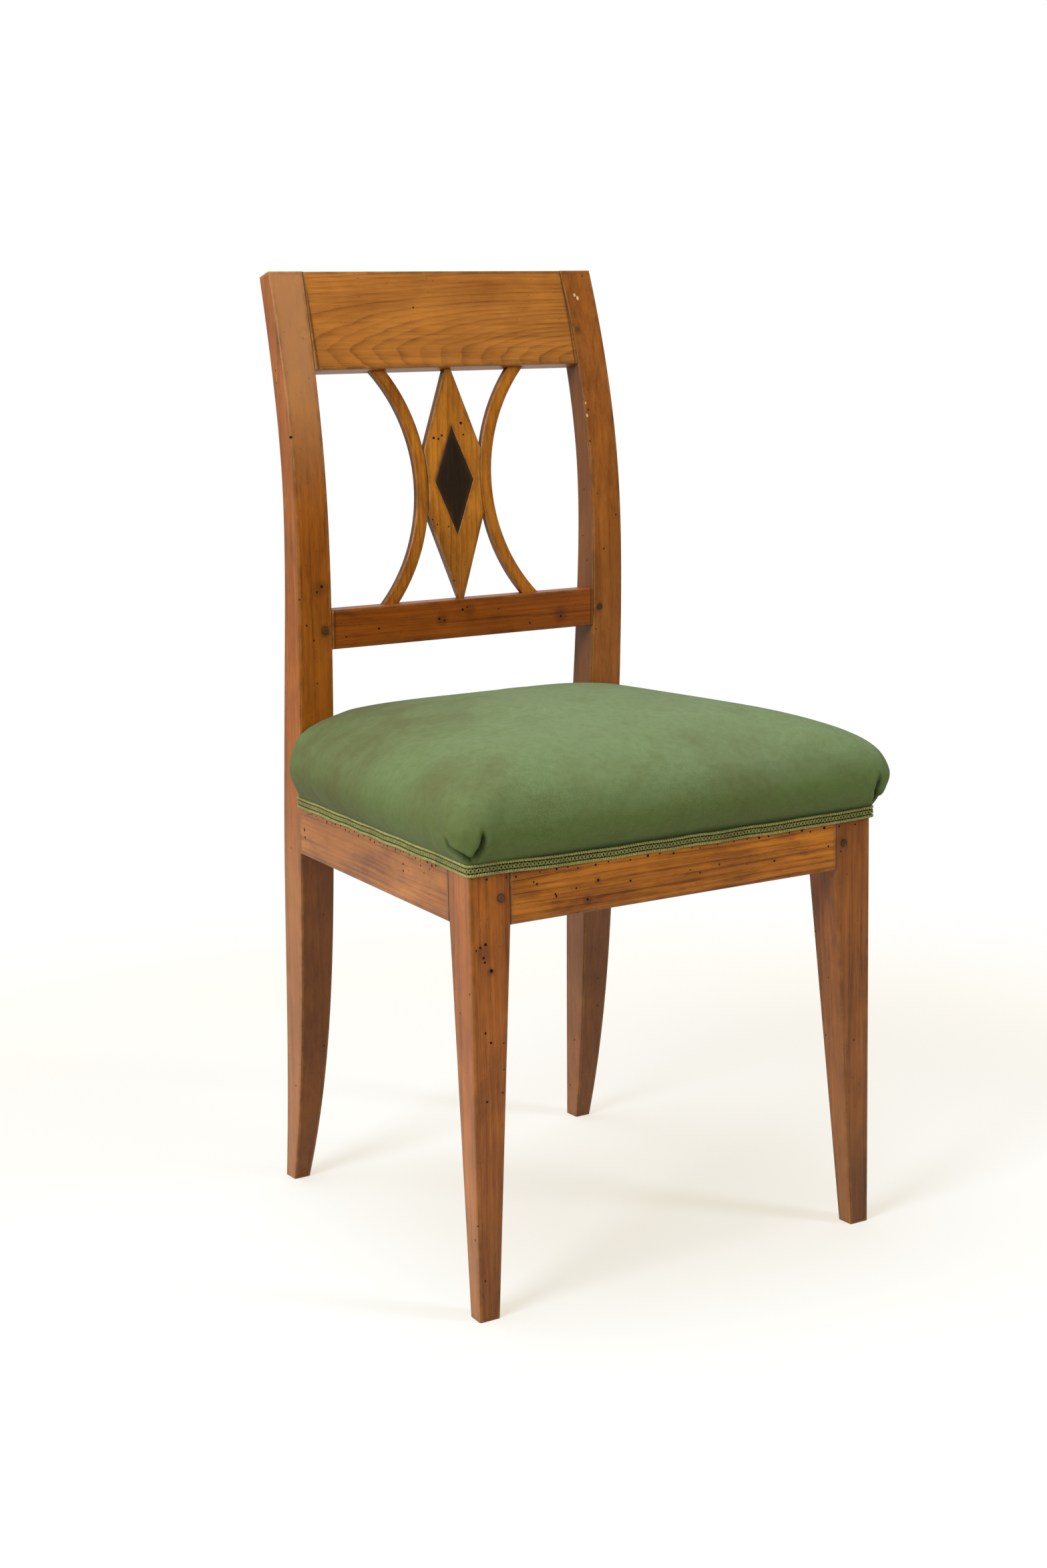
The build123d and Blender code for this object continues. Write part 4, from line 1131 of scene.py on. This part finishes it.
def makeFloor():
    floor = newPiece("studioFloor", floorCorners, [(0, 1, 2, 3)], smooth=False)
    finish, tree, shader, place = newFinish("paleFloor")
    fill(tree, shader, {"Base Color": studio["floorTone"], "Roughness": 0.8, "Specular IOR Level": 0.1})
    away = vectors(tree, "LENGTH", place)
    # the lit paper is all but white, its shadows are warm, and it runs out to white
    far = stretched(tree, away, studio["whiteFrom"], studio["whiteTo"])
    paper = addNode(tree, "ShaderNodeBsdfDiffuse", {"Color": studio["seenTone"]})
    glow = addNode(tree, "ShaderNodeEmission", {"Color": mixed(tree, far, studio["glow"], studio["white"])})
    seen = mixShaders(tree, stretched(tree, far, 0.0, 1.0, studio["lift"], 1.0, False), paper, glow)
    # the paper ends, so what shines high up shows less of it
    path = addNode(tree, "ShaderNodeLightPath").outputs
    near = stretched(tree, away, studio["shineFrom"], studio["shineTo"], 1.0, studio["shineLeft"])
    shining = times(tree, path["Is Glossy Ray"], near)
    lit = mixShaders(tree, sums(tree, "MAXIMUM", path["Is Camera Ray"], shining), shader, seen)
    # from underneath the floor is clear
    below = addNode(tree, "ShaderNodeNewGeometry").outputs["Backfacing"]
    whole = mixShaders(tree, below, lit, addNode(tree, "ShaderNodeBsdfTransparent"))
    result = next(n for n in tree.nodes if n.type == "OUTPUT_MATERIAL")
    tree.links.new(whole.outputs[0], result.inputs["Surface"])
    floor.data.materials.append(finish)


def makeWorld():
    world = bpy.data.worlds.new("studioWhite")
    scene.world = world
    world.use_nodes = True
    tree = world.node_tree
    tree.nodes.clear()
    path = addNode(tree, "ShaderNodeLightPath").outputs
    toward = addNode(tree, "ShaderNodeTexCoord").outputs["Generated"]
    # the white sweep stands behind and to the left; the room in front of it is dim
    sweep = stretched(tree, vectors(tree, "DOT_PRODUCT", toward, studio["sweepAt"]), -0.25, 0.55)
    level = times(tree, stretched(tree, sweep, 0.0, 1.0, studio["room"], 1.0), studio["world"])
    seen = sums(tree, "MAXIMUM", path["Is Camera Ray"], path["Is Transmission Ray"])
    shine = times(tree, times(tree, path["Is Glossy Ray"], sweep), studio["backdrop"])
    soft = addNode(tree, "ShaderNodeBackground", {"Color": studio["roomTone"], "Strength": level})
    back = addNode(tree, "ShaderNodeBackground", {"Color": studio["white"], "Strength": 1.0})
    both = mixShaders(tree, sums(tree, "MAXIMUM", seen, shine), soft, back)
    addNode(tree, "ShaderNodeOutputWorld", {"Surface": both.outputs[0]})


makeFloor()
makeWorld()

lamps = {
    "leftSoftbox": dict(spot=(-2.3, -0.8, 1.8), size=1.0, power=56, shine=True),
    "rightSoftbox": dict(spot=(1.7, -2.3, 1.9), size=0.7, power=40, shine=False),
    "topSoftbox": dict(spot=(-0.3, 0.3, 2.9), size=2.0, power=45, shine=True),
}
aim = Vector((0, 0, 0.45))
for name, lamp in lamps.items():
    light = bpy.data.lights.new(name, "AREA")
    light.energy, light.size = lamp["power"], lamp["size"]
    softbox = bpy.data.objects.new(name, light)
    softbox.location, softbox.visible_glossy = lamp["spot"], lamp["shine"]
    softbox.rotation_euler = (aim - Vector(lamp["spot"])).to_track_quat("-Z", "Y").to_euler()
    scene.collection.objects.link(softbox)

view = dict(spot=(-1.1919, -1.8633, 0.8126), bearing=-31.99, rise=10.36, roll=-1.19, lens=55.65, sensor=36)
bearing, rise, roll = (math.radians(view[k]) for k in ("bearing", "rise", "roll"))
backward = Vector((math.sin(bearing) * math.cos(rise), -math.cos(bearing) * math.cos(rise), math.sin(rise)))
right = Vector((math.cos(bearing), math.sin(bearing), 0))
up = backward.cross(right)
sideways = math.cos(roll) * right + math.sin(roll) * up
head = -math.sin(roll) * right + math.cos(roll) * up
lens = bpy.data.cameras.new("studioCamera")
lens.lens, lens.sensor_width = view["lens"], view["sensor"]
camera = bpy.data.objects.new("studioCamera", lens)
turned = Matrix((sideways, head, backward)).transposed().to_4x4()
camera.matrix_world = Matrix.Translation(view["spot"]) @ turned
scene.collection.objects.link(camera)
scene.camera = camera
scene.view_settings.view_transform = "Standard"
print("floor, light and camera done")

print("scene ready")
